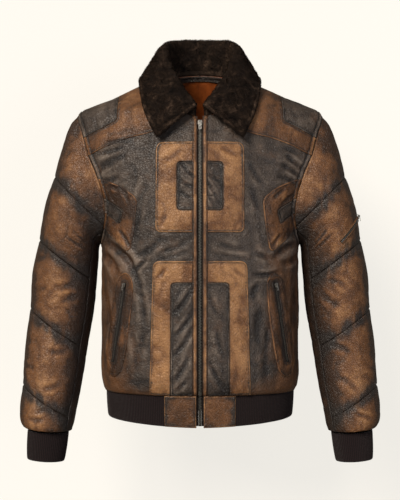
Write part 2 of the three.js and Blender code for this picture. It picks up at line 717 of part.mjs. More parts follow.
// Below the leather the zip runs on between and behind the hem tabs, in line with them.
function hemZip(x, z) {
  const cell = hemCell(turnOf(Math.abs(x), HEM_MIDDLE_Z), (z - HEM_FRONT_Z) / (HEM_TOP_Z - HEM_FRONT_Z), -1);
  cell.point.x = x;
  return cell;
}
const zipRows = (fromX, toX) =>
  zipHeights.map((z) =>
    [fromX, toX].map((x) => (z < LEATHER_BOTTOM_Z ? hemZip(x, z) : onFront(x, z))),
  );
const chainRows = zipRows(-CHAIN.half, CHAIN.half);
add("zip_chain", wall(chainRows, -CHAIN.below, -CHAIN.below - CHAIN.thick), FINISH.metal);
const tapeRows = zipRows(CHAIN.half + GAP, TAPE.edge);
addPair("zip_tape", wall(tapeRows, -TAPE.below, -TAPE.below - TAPE.thick), FINISH.tape);

// A frame on the front for something laid along a line: origin, x across, y along, z outwards.
function frontFrame(x, z, towardX, towardZ, lift) {
  const { point, normal } = onFront(x, z);
  const ahead = onFront(towardX, towardZ).point.sub(point);
  return frameOf(point, normal, ahead, lift);
}

function frameOf(point, normal, ahead, lift) {
  const along = ahead.clone().addScaledVector(normal, -ahead.dot(normal)).normalize();
  const across = along.clone().cross(normal).normalize();
  const basis = new THREE.Matrix4().makeBasis(across, along, normal);
  return { origin: point.clone().addScaledVector(normal, lift), basis };
}

const box = (w, l, h, x, y, z) => new THREE.BoxGeometry(w, l, h).translate(x, y, z);

// A slider: a rounded body, two cheeks and the pin that the pull swings on. Its y runs down the zip.
const PIN = { radius: 0.55, length: 4.2, y: -1.5, height: 4.2 };
const SLIDER_BASE = 0.3; // above the surface it is placed on
function sliderGeometry() {
  const shape = new THREE.Shape();
  shape.moveTo(-3.2, -5.2).lineTo(3.2, -5.2).lineTo(4.2, -2).lineTo(3.4, 5).lineTo(-3.4, 5);
  shape.lineTo(-4.2, -2).closePath();
  const body = new THREE.ExtrudeGeometry(shape, { depth: 2, bevelEnabled: false });
  body.translate(0, 0, SLIDER_BASE);
  const cheeks = [-2, 2].map((x) => box(0.9, 3.2, 4.1, x, PIN.y, 3.2));
  const pin = new THREE.CylinderGeometry(PIN.radius, PIN.radius, PIN.length, 12).rotateZ(Math.PI / 2);
  pin.translate(0, PIN.y, PIN.height);
  return geometryOf([...cheeks, pin].reduce((sum, g) => sum.add(solid(g)), solid(body)));
}

// A pull tab: an eye round the pin and a flat tab with a slot, hanging along y.
const EYE = { outer: 1.75, inner: 0.85, width: 2.4 };
const TAB = { half: 2.6, neck: 1.6, start: 3.4, thick: 1.2, slot: 1.1 };
function pullGeometry(length) {
  const eye = new THREE.Shape();
  eye.absarc(0, 0, EYE.outer, 0, 2 * Math.PI);
  eye.holes.push(new THREE.Path().absarc(0, 0, EYE.inner, 0, 2 * Math.PI, true));
  const ring = new THREE.ExtrudeGeometry(eye, { depth: EYE.width, bevelEnabled: false, curveSegments: 6 });
  ring.translate(0, 0, -EYE.width / 2).rotateY(Math.PI / 2);
  const neck = box(EYE.width, 3.6, TAB.thick, 0, 2.9, 0);
  const tab = new THREE.Shape();
  tab.moveTo(-TAB.neck, 0).lineTo(TAB.neck, 0).lineTo(TAB.half, 3).lineTo(TAB.half, length - 2);
  tab.quadraticCurveTo(TAB.half, length, 0, length).quadraticCurveTo(-TAB.half, length, -TAB.half, length - 2);
  tab.lineTo(-TAB.half, 3).closePath();
  const slot = new THREE.Path();
  slot.moveTo(-TAB.slot, length - 6.5).lineTo(-TAB.slot, length - 2.5).lineTo(TAB.slot, length - 2.5);
  slot.lineTo(TAB.slot, length - 6.5).closePath();
  tab.holes.push(slot);
  const blade = new THREE.ExtrudeGeometry(tab, { depth: TAB.thick, bevelEnabled: false, curveSegments: 3 });
  blade.translate(0, TAB.start, -TAB.thick / 2);
  return geometryOf([neck, blade].reduce((sum, g) => sum.add(solid(g)), solid(ring)));
}

function placeZipHead(name, { origin, basis }, size, pullLength) {
  const slider = add(`${name}_slider`, sliderGeometry(), FINISH.metal);
  const pull = add(`${name}_pull`, pullGeometry(pullLength), FINISH.metal);
  const turn = new THREE.Quaternion().setFromRotationMatrix(basis);
  const pinPlace = new THREE.Vector3(0, PIN.y, PIN.height).multiplyScalar(size).applyQuaternion(turn);
  slider.position.copy(origin);
  pull.position.copy(origin).add(pinPlace);
  for (const piece of [slider, pull]) {
    piece.quaternion.copy(turn);
    piece.scale.setScalar(size);
  }
}

placeZipHead("main", frontFrame(0, -98, 0, -104, 0.1), 1, 13);

// The pocket sliders stand at the top of their slots.
const pocketStart = mixPoint(POCKET_TOP, POCKET_BOTTOM, 0.03);
const pocketFrame = frontFrame(...pocketStart, ...POCKET_BOTTOM, GAP + APPLIQUE + 0.1);
function mirroredFrame({ origin, basis }) {
  const [across, along, out] = [new THREE.Vector3(), new THREE.Vector3(), new THREE.Vector3()];
  basis.extractBasis(across, along, out);
  along.x *= -1;
  out.x *= -1;
  across.crossVectors(along, out);
  return { origin: origin.clone().setX(-origin.x), basis: new THREE.Matrix4().makeBasis(across, along, out) };
}
placeZipHead("pocket_left", pocketFrame, 0.75, 11);
placeZipHead("pocket_right", mirroredFrame(pocketFrame), 0.75, 11);

// The slanted zip on the left sleeve, from the outer arm down to its front.
const SLEEVE_ZIP = { high: [307, -264], low: [262, -317], half: 2.8, thick: 0.8, depth: 165 };
const zipUnder = (i, j) => puff(i, j) + GAP;
const zipLayer = solid(wall(topRows, (i, j) => zipUnder(i, j) + SLEEVE_ZIP.thick, zipUnder));
const [zipHigh, zipLow] = [SLEEVE_ZIP.high, SLEEVE_ZIP.low].map((p) => new THREE.Vector2(...p));
const zipSide = zipLow.clone().sub(zipHigh).setLength(SLEEVE_ZIP.half);
zipSide.rotateAround(new THREE.Vector2(), Math.PI / 2);
const zipCorners = [[zipHigh, 1], [zipHigh, -1], [zipLow, -1], [zipLow, 1]].map(([end, side]) => [
  end.x + side * zipSide.x,
  end.y + side * zipSide.y,
]);
const zipStrip = zipLayer.intersect(plate(zipCorners, undefined, SLEEVE_ZIP.depth));
add("sleeve_zip", geometryOf(zipStrip), FINISH.tape);

const zipHead = { angle: 9 * DEGREE, height: -268, turn: 12 * DEGREE, drop: 14 };
const headPoint = sleevePoint(zipHead.angle, zipHead.height);
const headNormal = sleeveNormal(zipHead.angle, zipHead.height);
const headAhead = sleevePoint(zipHead.angle + zipHead.turn, zipHead.height - zipHead.drop).sub(headPoint);
const HEAD_LIFT = PUFF + GAP + SLEEVE_ZIP.thick + 0.3;
placeZipHead("sleeve", frameOf(headPoint, headNormal, headAhead, HEAD_LIFT), 0.8, 12);

export default jacket;
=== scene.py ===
"""A worn two-tone leather jacket, held up by its wearer, who isn't there.

The fronts are pieced: tan cowhide is laid on dark, with a rolled border beside the zip. The sleeves
are quilted in slanted bands. The collar is sheared wool, and the hem and cuffs are knitted rib.
Every cloth piece is a thin closed wall on its own solid's form, displaced by one shared relief, so
that neighbouring pieces fold together. Sizes are in millimetres until a mesh is made.
"""

import math

import bpy
import numpy as np
from mathutils.bvhtree import BVHTree
from mathutils.geometry import delaunay_2d_cdt
from mathutils.kdtree import KDTree
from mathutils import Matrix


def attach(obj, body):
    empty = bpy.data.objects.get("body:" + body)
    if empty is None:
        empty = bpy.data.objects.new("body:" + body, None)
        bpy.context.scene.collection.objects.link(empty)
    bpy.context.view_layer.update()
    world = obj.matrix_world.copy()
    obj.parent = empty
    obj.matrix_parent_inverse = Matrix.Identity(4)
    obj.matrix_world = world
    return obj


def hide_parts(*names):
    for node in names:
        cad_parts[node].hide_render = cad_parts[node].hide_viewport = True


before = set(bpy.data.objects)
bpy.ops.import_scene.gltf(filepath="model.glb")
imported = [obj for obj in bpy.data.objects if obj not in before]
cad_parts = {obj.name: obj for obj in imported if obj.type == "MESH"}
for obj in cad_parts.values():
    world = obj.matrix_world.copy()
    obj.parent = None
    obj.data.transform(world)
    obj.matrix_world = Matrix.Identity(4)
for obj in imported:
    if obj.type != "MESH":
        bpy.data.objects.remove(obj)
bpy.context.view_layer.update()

MM = 0.001
QUARTER = math.pi / 2

# ---------- Sizes of the cut, in millimetres ----------
LEATHER = 1.8
LAID = 1.3
GAP = 0.3
RIB = 3.0
FUR_HALF = 4.5
LINING = 1.2
PUFF = 3.0

SHOULDER_Z = -72
UNDERARM_Z = -318
LEATHER_BOTTOM_Z = -595
FRONT_NECK_Z = -85
BACK_NECK_Z = 13
NECK_HALF_WIDTH = 72
NECK_SHARE = 0.6
FRONT_EDGE_X = 6.3
HEM_FRONT_Z = -654
HEM_SIDE_Z = -644
HEM_MIDDLE_Z = -620
HEM_TOP_Z = LEATHER_BOTTOM_Z - GAP
HEM_HALF_WIDTH = 178
HEM_INSET = 2.4
TAB_X = 65.4
SLEEVE_END_Z = -663
SLEEVE_GAP = 0.4
ARMHOLE_FRONT_TURN = math.radians(30.5)
ARMHOLE_BACK_TURN = math.radians(25)
ARMHOLE_EASE = 110
TOP_SLEEVE_ANGLE = math.radians(144)
CUFF_LEAN = (4, -5, -53)
CUFF_TOP_RADIUS = 38.5
CUFF_END_RADIUS = 34.5
ZIP_TOP_Z = -96
ZIP_END_Z = -651

# The body's level sections: height, half width, depth in front, depth behind, squareness.
BODY_SECTIONS = [
    [-655, 177, 131, 112, 2.4],
    [-595, 181, 135, 114, 2.4],
    [-586, 185.5, 139.5, 117.5, 2.4],
    [-565, 188, 142, 120, 2.4],
    [-450, 188, 141, 117, 2.4],
    [-320, 188, 137, 121, 2.35],
    [-280, 189, 135, 124, 2.3],
    [-238, 198, 131, 125, 2.3],
    [-191, 219, 125, 123, 2.2],
    [-154, 234, 117, 119, 2.15],
    [-109, 237, 104, 112, 2.05],
    [-72, 230, 89, 104, 2.0],
    [-57, 201, 78, 98, 2.0],
    [-46, 172, 68, 93, 2.0],
    [-34, 146, 59, 88, 2.0],
    [-23, 122, 52, 82, 2.0],
    [0, 72, 40, 72, 2.0],
    [14, 58, 32, 66, 2.0],
]

# A sleeve's rings: outer point x and z, inner point x and z, half depth, how far forward.
SLEEVE_RINGS = [
    [229.5, -72, 188, -318, 66, 0],
    [245, -92, 190.4, -319.5, 68, -1],
    [257, -126, 191.8, -322, 70, -1],
    [272, -173, 192.8, -326, 71, -1],
    [292, -242, 193.4, -333, 71, 0],
    [307, -315, 194.4, -350, 70, 1],
    [317, -370, 197.5, -390, 69, 1],
    [322, -426, 202, -440, 67, -2],
    [328, -495, 213, -506, 64, -10],
    [333, -564, 222.5, -574, 60, -22],
    [336, -630, 234.5, -640, 55, -37],
    [335.5, -650, 237.5, -658, 53, -42],
    [330, -663, 241, -669, 50, -45],
]

# The slanted sleeve seams: a point on each, x and z, and its rise for each mm outwards.
SLANT_SEAMS = [(279, -190, 0.98), (307, -312, 0.74), (324, -442, 0.7), (336, -584, 0.64)]

# The collar, from the middle of the back to its front end: the roll line, and the outer edge.
COLLAR_ROLL = [
    [0, 76, 80],
    [32, 70, 80],
    [58, 48, 74],
    [68, 12, 58],
    [62, -30, 26],
    [39, -72, -22],
    [7.5, -101, -68],
]
COLLAR_EDGE = [
    [0, 95, -6],
    [50, 87, -7],
    [94, 53, -4],
    [112, 8, -3],
    [113, -45, -27],
    [103, -93, -76],
    [79, -121, -127],
]

# ---------- Leather laid on a front: x, z and corner radius of each outline ----------
ABOVE = 20
BESIDE = 245
BAND_X = 14.3
LAID_BOTTOM_Z = LEATHER_BOTTOM_Z + 1
CAP_X, CAP_Z, CAP_SLOPE = 154, -90, -0.484
CAP_END_Z = CAP_Z + CAP_SLOPE * (BESIDE - CAP_X)
POCKET_TOP = (137.4, -391)
POCKET_BOTTOM = (161, -538)


def pocket_slot(half):
    """The pocket's opening, half as wide as given."""
    (top_x, top_z), (end_x, end_z) = POCKET_TOP, POCKET_BOTTOM
    return [
        (top_x - half, top_z, 2),
        (end_x - half, end_z, 2),
        (end_x + half, end_z, 2),
        (top_x + half, top_z, 2),
    ]


LAID_OUTLINES = {
    "zip_border": [
        (2, LAID_BOTTOM_Z, 0), (14, LAID_BOTTOM_Z, 0), (14, ABOVE, 0), (2, ABOVE, 0),
    ],
    "chest_frame": [
        (BAND_X, -133, 0), (BAND_X, -170, 0), (42, -170, 8), (42, -258.5, 8), (BAND_X, -258.5, 0),
        (BAND_X, -299, 0), (80.5, -299, 12), (80.5, -133, 16),
    ],
    "chest_inset": [
        (BAND_X, -170.3, 0), (BAND_X, -258.2, 0), (41.7, -258.2, 8), (41.7, -170.3, 8),
    ],
    "belly_arch": [
        (BAND_X, -351, 0), (BAND_X, -390.5, 0), (52.2, -390.5, 7), (53, LAID_BOTTOM_Z, 0),
        (91.8, LAID_BOTTOM_Z, 0), (85.5, -351, 14),
    ],
    "belly_inset": [
        (BAND_X, -390.8, 0), (BAND_X, LAID_BOTTOM_Z, 0), (52.7, LAID_BOTTOM_Z, 0), (51.9, -390.8, 7),
    ],
    "side_patch": [
        (BESIDE, -192, 0), (186, -198, 12), (158, -208, 10), (139, -217, 8), (114, -237, 12),
        (120, -298, 12), (129, -338, 14), (166, -304, 8), (178, -290, 6), (BESIDE, -280, 0),
        (BESIDE, -262, 0), (174, -262, 3), (146.5, -283, 4), (141, -257.5, 5), (177, -234, 3),
        (BESIDE, -230, 0),
    ],
    "side_flash": [
        (BESIDE, -261.6, 0), (173.8, -261.6, 3), (147, -282.3, 4), (141.6, -257.7, 5),
        (177.2, -234.4, 3), (BESIDE, -230.4, 0),
    ],
    "yoke": [
        (40, ABOVE, 0), (40, -92, 0), (95, -117, 10), (129, -124, 12), (168, -137, 12), (190, -147, 10),
        (BESIDE, -173, 0), (BESIDE, CAP_END_Z - 0.5, 0), (CAP_X - 0.4, CAP_Z - 0.5, 7),
        (CAP_X - 0.4, ABOVE, 0),
    ],
    "shoulder_cap": [(CAP_X, ABOVE, 0), (CAP_X, CAP_Z, 7), (BESIDE, CAP_END_Z, 0), (BESIDE, ABOVE, 0)],
    "pocket_frame": [
        (134, -370, 8), (120.5, -387, 10), (125, -443, 0), (133.7, -509, 0), (145, -556, 10),
        (158, -567, 6), (170, -560, 6), (175, -535, 0), (170, -493, 0), (161, -433.5, 0), (153, -382, 12),
    ],
    "pocket_zip": pocket_slot(3.1),
}
LAID_HOLES = {"pocket_frame": pocket_slot(3.4)}
TAN_PIECES = ("zip_border", "chest_frame", "belly_arch", "side_patch", "yoke", "pocket_frame")

# Creases worn into each front: x and z of both ends, depth, half width, and bend sideways.
CREASES = {
    -1: [
        (190, -178, 138, -158, 1.5, 5, 3), (192, -152, 140, -142, 1.1, 4, -2),
        (178, -136, 126, -130, 0.9, 4, 2), (192, -190, 152, -170, 1.4, 4, 3),
        (186, -204, 150, -196, 1.2, 4, -2), (172, -316, 120, -374, 3.0, 6, 7),
        (150, -332, 121, -362, 2.2, 5, 4), (180, -338, 152, -380, 2.4, 6, 5),
        (96, -347, 119, -373, 1.9, 4, -3), (118, -372, 108, -402, 1.6, 5, 0),
        (70, -310, 120, -346, 1.1, 6, 5), (22, -314, 80, -338, 1.0, 5, 4),
        (22, -332, 88, -349, 0.9, 4, 3), (108, -250, 119, -292, 0.9, 4, 2),
        (90, -200, 110, -250, 0.8, 6, -4), (8, -200, 36, -173, 1.7, 2.6, 2),
        (18, -184, 38, -168, 1.5, 2.4, 1), (12, -218, 40, -200, 1.4, 3, 2),
        (14, -238, 38, -222, 1.0, 3, 2), (16, -402, 46, -446, 1.9, 4, 3), (12, -440, 45, -486, 1.7, 4, 3),
        (15, -470, 47, -522, 1.5, 4, 4), (20, -520, 46, -566, 1.4, 4, 3), (24, -566, 46, -586, 1.4, 3, 1),
        (112, -398, 103, -470, 1.1, 5, 4), (98, -470, 114, -560, 1.0, 6, -5),
        (150, -212, 128, -250, 1.0, 3, 4), (170, -214, 146, -222, 1.2, 3, 2),
        (150, -292, 130, -326, 1.2, 3, 3), (180, -398, 170, -470, 1.4, 5, 3),
        (183, -470, 176, -560, 1.2, 5, -3), (30, -140, 70, -170, 0.7, 5, 4),
        (60, -262, 76, -292, 0.7, 4, 2), (128, -470, 118, -540, 0.9, 4, 3),
        (60, -360, 82, -384, 0.8, 4, 2),
    ],
    1: [
        (186, -196, 144, -172, 1.4, 4, 3), (192, -182, 158, -150, 1.4, 4, -3),
        (188, -160, 150, -140, 1.0, 4, 2), (178, -208, 140, -196, 1.2, 4, 3),
        (92, -172, 118, -214, 0.9, 5, 4), (96, -220, 112, -262, 0.8, 5, 3),
        (11, -206, 30, -240, 1.4, 2.6, -2), (14, -192, 38, -208, 1.3, 2.6, 2),
        (16, -226, 26, -254, 1.0, 2.6, 1), (100, -334, 130, -347, 1.4, 4, 2),
        (134, -346, 178, -318, 1.8, 5, -4), (96, -376, 152, -369, 1.9, 4, 4),
        (106, -392, 95, -420, 1.5, 5, 2), (150, -356, 184, -340, 1.6, 5, 4),
        (24, -316, 90, -330, 0.8, 5, 4), (30, -338, 92, -346, 0.8, 4, 2), (16, -410, 34, -452, 0.9, 4, 2),
        (30, -470, 44, -530, 0.9, 4, 3), (16, -530, 40, -576, 1.1, 4, 2),
        (110, -430, 104, -500, 0.9, 6, 3), (112, -500, 120, -580, 0.9, 6, -4),
        (160, -216, 132, -240, 1.1, 3, 2), (176, -226, 150, -246, 1.0, 3, 1),
        (150, -300, 132, -326, 1.1, 3, 2), (182, -400, 174, -480, 1.3, 5, 3),
        (184, -480, 178, -570, 1.2, 5, -3), (36, -138, 72, -160, 0.7, 5, 3),
        (60, -362, 82, -380, 0.7, 4, 2), (130, -460, 122, -530, 0.8, 4, 3),
    ],
}

# Creases of the back, in the same terms. They fan from the armholes and lie slack above the hem.
BACK_CREASES = [
    (196, -170, 120, -210, 1.4, 7, 8), (190, -210, 118, -240, 1.4, 7, 6),
    (186, -260, 110, -262, 1.3, 7, -6), (186, -330, 120, -300, 1.8, 7, -8),
    (184, -360, 90, -390, 1.8, 8, 12), (182, -430, 96, -420, 1.4, 8, -10),
    (120, -470, 20, -500, 1.5, 9, 12), (180, -520, 110, -540, 1.6, 8, 8),
    (100, -556, 10, -566, 1.4, 8, -6), (60, -40, 120, -70, 1.0, 7, 6), (20, -200, 70, -330, 0.8, 9, 8),
    (170, -150, 110, -130, 1.0, 6, 4),
]

# Creases of a sleeve: how far round from the top line, and the height, at both ends.
SLEEVE_CREASES = [
    (96, -236, 132, -262, 1.5, 5, 3), (84, -262, 128, -290, 1.2, 5, -3), (52, -330, 20, -352, 0.9, 5, 3),
    (110, -372, 76, -398, 1.3, 5, 4), (124, -396, 90, -428, 1.5, 6, -3), (70, -384, 40, -410, 0.8, 5, 2),
    (118, -500, 80, -520, 1.2, 5, 3), (60, -540, 24, -556, 0.8, 5, -2), (112, -560, 78, -590, 1.2, 5, 4),
    (90, -630, 50, -646, 1.2, 4, 3), (100, -612, 70, -636, 1.0, 4, -2), (70, -130, 104, -176, 0.9, 5, 3),
    (-60, -240, -110, -280, 1.2, 6, 3), (-70, -390, -120, -420, 1.4, 6, -3),
    (-50, -480, -96, -520, 1.1, 6, 4), (-60, -600, -100, -630, 1.2, 5, 3),
]


# ---------- Small helpers on numbers ----------
def mix(a, b, share):
    return a + (b - a) * share


def smooth(low, high, value):
    """0 below low, 1 above high, and smooth between them."""
    t = np.clip((np.asarray(value, float) - low) / (high - low), 0, 1)
    return t * t * (3 - 2 * t)


def bell(value, width):
    return np.exp(-((value / width) ** 2))


def unit(vectors):
    return vectors / np.maximum(np.linalg.norm(vectors, axis=-1, keepdims=True), 1e-12)


def smooth_table(rows):
    """A smooth curve through rows of [key, ...values], read at any key."""
    table = np.array(rows, float)
    keys = table[:, 0]
    steps = np.arange(len(rows))
    before = table[np.maximum(steps - 1, 0)]
    after = table[np.minimum(steps + 1, len(rows) - 1)]
    slope = (after - before) / (after[:, :1] - before[:, :1])

    def read(key):
        key = np.asarray(key, float)
        i = np.clip(np.searchsorted(keys, key) - 1, 0, len(rows) - 2)
        span = (keys[i + 1] - keys[i])[..., None]
        t = np.clip((key - keys[i]) / span[..., 0], 0, 1)[..., None]
        start = (2 * t**3 - 3 * t**2 + 1) * table[i] + (t**3 - 2 * t**2 + t) * span * slope[i]
        end = (3 * t**2 - 2 * t**3) * table[i + 1] + (t**3 - t**2) * span * slope[i + 1]
        return np.moveaxis(start + end, -1, 0)[1:]

    return read


def lattice(cells, seed):
    """A repeatable value from -1 to 1 at each whole place in space."""
    n = cells[..., 0] * 73856093 ^ cells[..., 1] * 19349663 ^ cells[..., 2] * 83492791 ^ seed * 40503
    n = n & 0xFFFFFFFF
    n = ((n ^ (n >> 15)) * 1274126177) & 0xFFFFFFFF
    n = ((n ^ (n >> 13)) * 668265263) & 0xFFFFFFFF
    return ((n ^ (n >> 16)) & 0xFFFFFF) / 0x7FFFFF - 1.0


def unevenness(points, size, seed):
    """Soft unevenness from -1 to 1, with swells about as far apart as size."""
    place = points / size + 1000
    cell = np.floor(place).astype(np.int64)
    t = place - cell
    t = t * t * (3 - 2 * t)
    value = 0
    for corner in np.ndindex(2, 2, 2):
        share = np.prod(np.where(corner, t, 1 - t), axis=-1)
        value = value + share * lattice(cell + corner, seed)
    return value


# ---------- The body's form ----------
body_section = smooth_table(BODY_SECTIONS)


def body_point(x, z, side):
    """A point on the front (side -1) or back (side 1)."""
    width, front, back, square = body_section(z)
    share = np.minimum(np.abs(x) / width, 1)
    depth = np.where(np.asarray(side) < 0, front, back) * (1 - share**square) ** (1 / square)
    return np.stack(np.broadcast_arrays(np.sign(x) * share * width, side * depth, z), -1)


def body_turn(turn, z, side):
    """The same by the turn about the upright axis: 0 is the middle, a quarter the side seam."""
    width, front, back, square = body_section(z)
    across = width * np.abs(np.sin(turn)) ** (2 / square)
    depth = np.where(np.asarray(side) < 0, front, back) * np.abs(np.cos(turn)) ** (2 / square)
    return np.stack(np.broadcast_arrays(np.sign(turn) * across, side * depth, z), -1)


def turn_of(x, z):
    width, _, _, square = body_section(z)
    return np.arcsin(np.minimum(np.abs(x) / width, 1) ** (square / 2))


def body_normal(points):
    def level(x, y, z):
        width, front, back, square = body_section(z)
        depth = np.where(y < 0, front, back)
        return np.abs(x / width) ** square + np.abs(y / depth) ** square

    x, y, z = np.moveaxis(points, -1, 0)
    h = 0.5
    slopes = [
        level(x + h, y, z) - level(x - h, y, z),
        level(x, y + h, z) - level(x, y - h, z),
        level(x, y, z + h) - level(x, y, z - h),
    ]
    return unit(np.stack(slopes, -1))


def neck_seam(angle):
    """The neck seam's x and z: angle 0 is its front, half a turn its back."""
    cos = np.cos(angle)
    z = np.where(cos > 0, FRONT_NECK_Z * np.abs(cos) ** 0.8, BACK_NECK_Z * cos * cos)
    return NECK_HALF_WIDTH * np.sin(angle), z


def armhole(angle):
    """The armhole's turn, height, side and points: angle 0 is the shoulder seam."""
    z = (SHOULDER_Z + UNDERARM_Z) / 2 + (SHOULDER_Z - UNDERARM_Z) / 2 * np.cos(angle)
    side = np.where(np.sin(angle) >= 0, -1, 1)
    cut = np.where(side < 0, ARMHOLE_FRONT_TURN, ARMHOLE_BACK_TURN)
    turn = QUARTER - cut * np.abs(np.sin(angle))
    return turn, z, side, body_turn(turn, z, side)


# ---------- The sleeve's form ----------
sleeve_ring = smooth_table([[-ring[1], *ring] for ring in SLEEVE_RINGS])


def sleeve_ellipse(angle, height):
    outer_x, outer_z, inner_x, inner_z, depth, forward = sleeve_ring(-np.asarray(height, float))
    cos = np.cos(angle)
    x = (outer_x + inner_x) / 2 + (outer_x - inner_x) / 2 * cos
    z = (outer_z + inner_z) / 2 + (outer_z - inner_z) / 2 * cos
    return np.stack(np.broadcast_arrays(x, forward - depth * np.sin(angle), z), -1)


def sleeve_point(angle, height):
    """By the angle about the sleeve from its top line, and the height of the ring's outer point."""
    away = smooth(0, ARMHOLE_EASE, SHOULDER_Z - np.asarray(height, float))[..., None]
    start = armhole(angle)[3] - sleeve_ellipse(angle, SHOULDER_Z)
    return sleeve_ellipse(angle, height) + start * (1 - away)


def sleeve_normal(angle, height):
    top = np.minimum(height + 1, SHOULDER_Z)
    along = sleeve_point(angle, top) - sleeve_point(angle, top - 2)
    around = sleeve_point(angle + 0.01, height) - sleeve_point(angle - 0.01, height)
    return -unit(np.cross(around, along))


def seam_height(seam, angle):
    """The ring height at which a slanted seam crosses each line along the sleeve."""
    x, z, rise = seam
    high = np.full(np.shape(angle), float(SHOULDER_Z))
    low = np.full(np.shape(angle), float(SLEEVE_END_Z))
    for _ in range(30):
        middle = (high + low) / 2
        point = sleeve_point(angle, middle)
        above = point[..., 2] - z > rise * (point[..., 0] - x)
        high = np.where(above, middle, high)
        low = np.where(above, low, middle)
    return (high + low) / 2


# ---------- Meshes ----------
def grid_faces(rows, columns, closed=False):
    """Quads between the points of a grid, which may close on itself along each row."""
    i = np.arange(columns if closed else columns - 1)
    j = np.arange(rows - 1)[:, None] * columns
    next_i = (i + 1) % columns
    return np.stack([j + i, j + next_i, j + columns + next_i, j + columns + i], -1).reshape(-1, 4)


SIDES = ((1, "left"), (-1, "right"))  # the sign of x on the wearer's side, and its name


def flat_rows(grid):
    """A grid of points as one list of them."""
    return grid.reshape(-1, 3)


def for_hand(grid, hand):
    """The left side's points, as they are for the left (1) and turned over for the right (-1)."""
    return grid * [hand, 1, 1]


def point_normals(points, faces):
    a, b, c = (points[faces[:, k]] for k in range(3))
    flat = np.cross(b - a, c - a)
    if faces.shape[1] == 4:
        flat = np.cross(c - a, points[faces[:, 3]] - b)
    normals = np.zeros_like(points)
    for k in range(faces.shape[1]):
        np.add.at(normals, faces[:, k], flat)
    return unit(normals)


def area_of(points, faces):
    """In square metres."""
    points = flat_rows(points)
    a, b, c = (points[faces[:, k]] for k in range(3))
    area = np.linalg.norm(np.cross(b - a, c - a), axis=-1).sum() / 2
    if faces.shape[1] == 4:
        d = points[faces[:, 3]]
        area += np.linalg.norm(np.cross(c - a, d - a), axis=-1).sum() / 2
    return area * MM * MM


def make_object(name, points, faces, finishes, finish_of=None, marks=None):
    """A smooth mesh in metres, with its finishes and its painted marks."""
    mesh = bpy.data.meshes.new(name)
    mesh.from_pydata((points * MM).tolist(), [], faces)
    mesh.polygons.foreach_set("use_smooth", [True] * len(mesh.polygons))
    for finish in finishes:
        mesh.materials.append(finish)
    if finish_of is not None:
        mesh.polygons.foreach_set("material_index", finish_of)
    for mark, values in (marks or {}).items():
        layer = mesh.attributes.new(mark, "FLOAT", "POINT")
        layer.data.foreach_set("value", np.ascontiguousarray(values, np.float32))
    mesh.update()
    piece = bpy.data.objects.new(name, mesh)
    bpy.context.collection.objects.link(piece)
    return piece


def wall(name, points, faces, outward, thick, finishes, marks=None, inside=None):
    """A closed wall: the given surface, the same moved in, and a rim along every open edge."""
    points, outward = flat_rows(points), flat_rows(outward)
    normals = point_normals(points, faces)
    if np.sum(normals * outward) < 0:
        faces = faces[:, ::-1]
        normals = -normals
    inside = points - normals * thick if inside is None else flat_rows(inside)
    count = len(points)
    start = faces.reshape(-1)
    end = np.roll(faces, -1, axis=1).reshape(-1)
    alone = ~np.isin(start * count + end, end * count + start)
    start, end = start[alone], end[alone]
    rim = np.stack([end, start, start + count, end + count], -1)
    all_faces = faces.tolist() + (faces[:, ::-1] + count).tolist() + rim.tolist()
    finish_of = np.repeat([0, 1, 0], [len(faces), len(faces), len(rim)])
    both = {mark: np.tile(np.ravel(value), 2) for mark, value in (marks or {}).items()}
    return make_object(name, np.concatenate([points, inside]), all_faces, finishes, finish_of, both)


def settle(piece, slot, *nodes):
    """What every cloth piece needs: it rides on the jacket and stands for its solid."""
    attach(piece, "jacket")
    if nodes:
        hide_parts(*nodes)


# A cut is at least this wide, in millimetres. Its length stays as it is.
NARROWEST_CUT = 10.5


def declare_cut(width, length, area):
    """Turns the width of a flat cut, at least the narrowest cut, and its length from millimetres into metres;
    nothing more is done with them. The area is not used.
    """
    width, length = max(width, NARROWEST_CUT) * MM, length * MM


def arc_lengths(grid):
    """The longest row and the longest column of a grid of points."""
    rows = np.linalg.norm(np.diff(grid, axis=1), axis=-1).sum(1).max()
    columns = np.linalg.norm(np.diff(grid, axis=0), axis=-1).sum(0).max()
    return rows, columns


def declare_grid_cut(grid, faces):
    """Measures the cut of a piece that is a grid by its arc lengths and area, and passes them to declare_cut.
    """
    width, length = arc_lengths(grid)
    declare_cut(width, length, area_of(grid, faces))


def extents(points):
    """A piece that isn't a grid: about its widest level run, and its height with 3% for the curve."""
    level = np.round(points[:, 2] / 8)
    width = 0
    for row in np.unique(level):
        own = points[level == row]
        ends = own[np.argmax(own[:, 0])] - own[np.argmin(own[:, 0])]
        width = max(width, np.hypot(ends[0], ends[1]))
    return width, np.ptp(points[:, 2]) * 1.03


def tree_of(points):
    tree = KDTree(len(points))
    for i, point in enumerate(points):
        tree.insert(point, i)
    tree.balance()
    return tree


def distance_to(tree, points):
    flat = points.reshape(-1, 3)
    return np.array([tree.find(p)[2] for p in flat]).reshape(points.shape[:-1])


def uneven_shares(count, edge_rows, edge):
    """Shares from 0 to 1, closer together near 1."""
    wide = np.linspace(0, 1 - edge, count, endpoint=False)
    return np.concatenate([wide, np.linspace(1 - edge, 1, edge_rows)])


# ---------- Finishes ----------
def linear(code):
    """An sRGB hex colour as linear red, green, blue and alpha."""
    values = [int(code[i : i + 2], 16) / 255 for i in (1, 3, 5)]
    return (*[v / 12.92 if v <= 0.04045 else ((v + 0.055) / 1.055) ** 2.4 for v in values], 1)


def add_node(tree, kind, settings=None, links=None):
    """Adds a node. Settings name its own properties or its sockets, links name its sockets."""
    node = tree.nodes.new(kind)
    for name, value in (settings or {}).items():
        if isinstance(name, int) or name in node.inputs:
            node.inputs[name].default_value = value
        else:
            setattr(node, name, value)
    for name, source in (links or {}).items():
        tree.links.new(source, node.inputs[name])
    return node


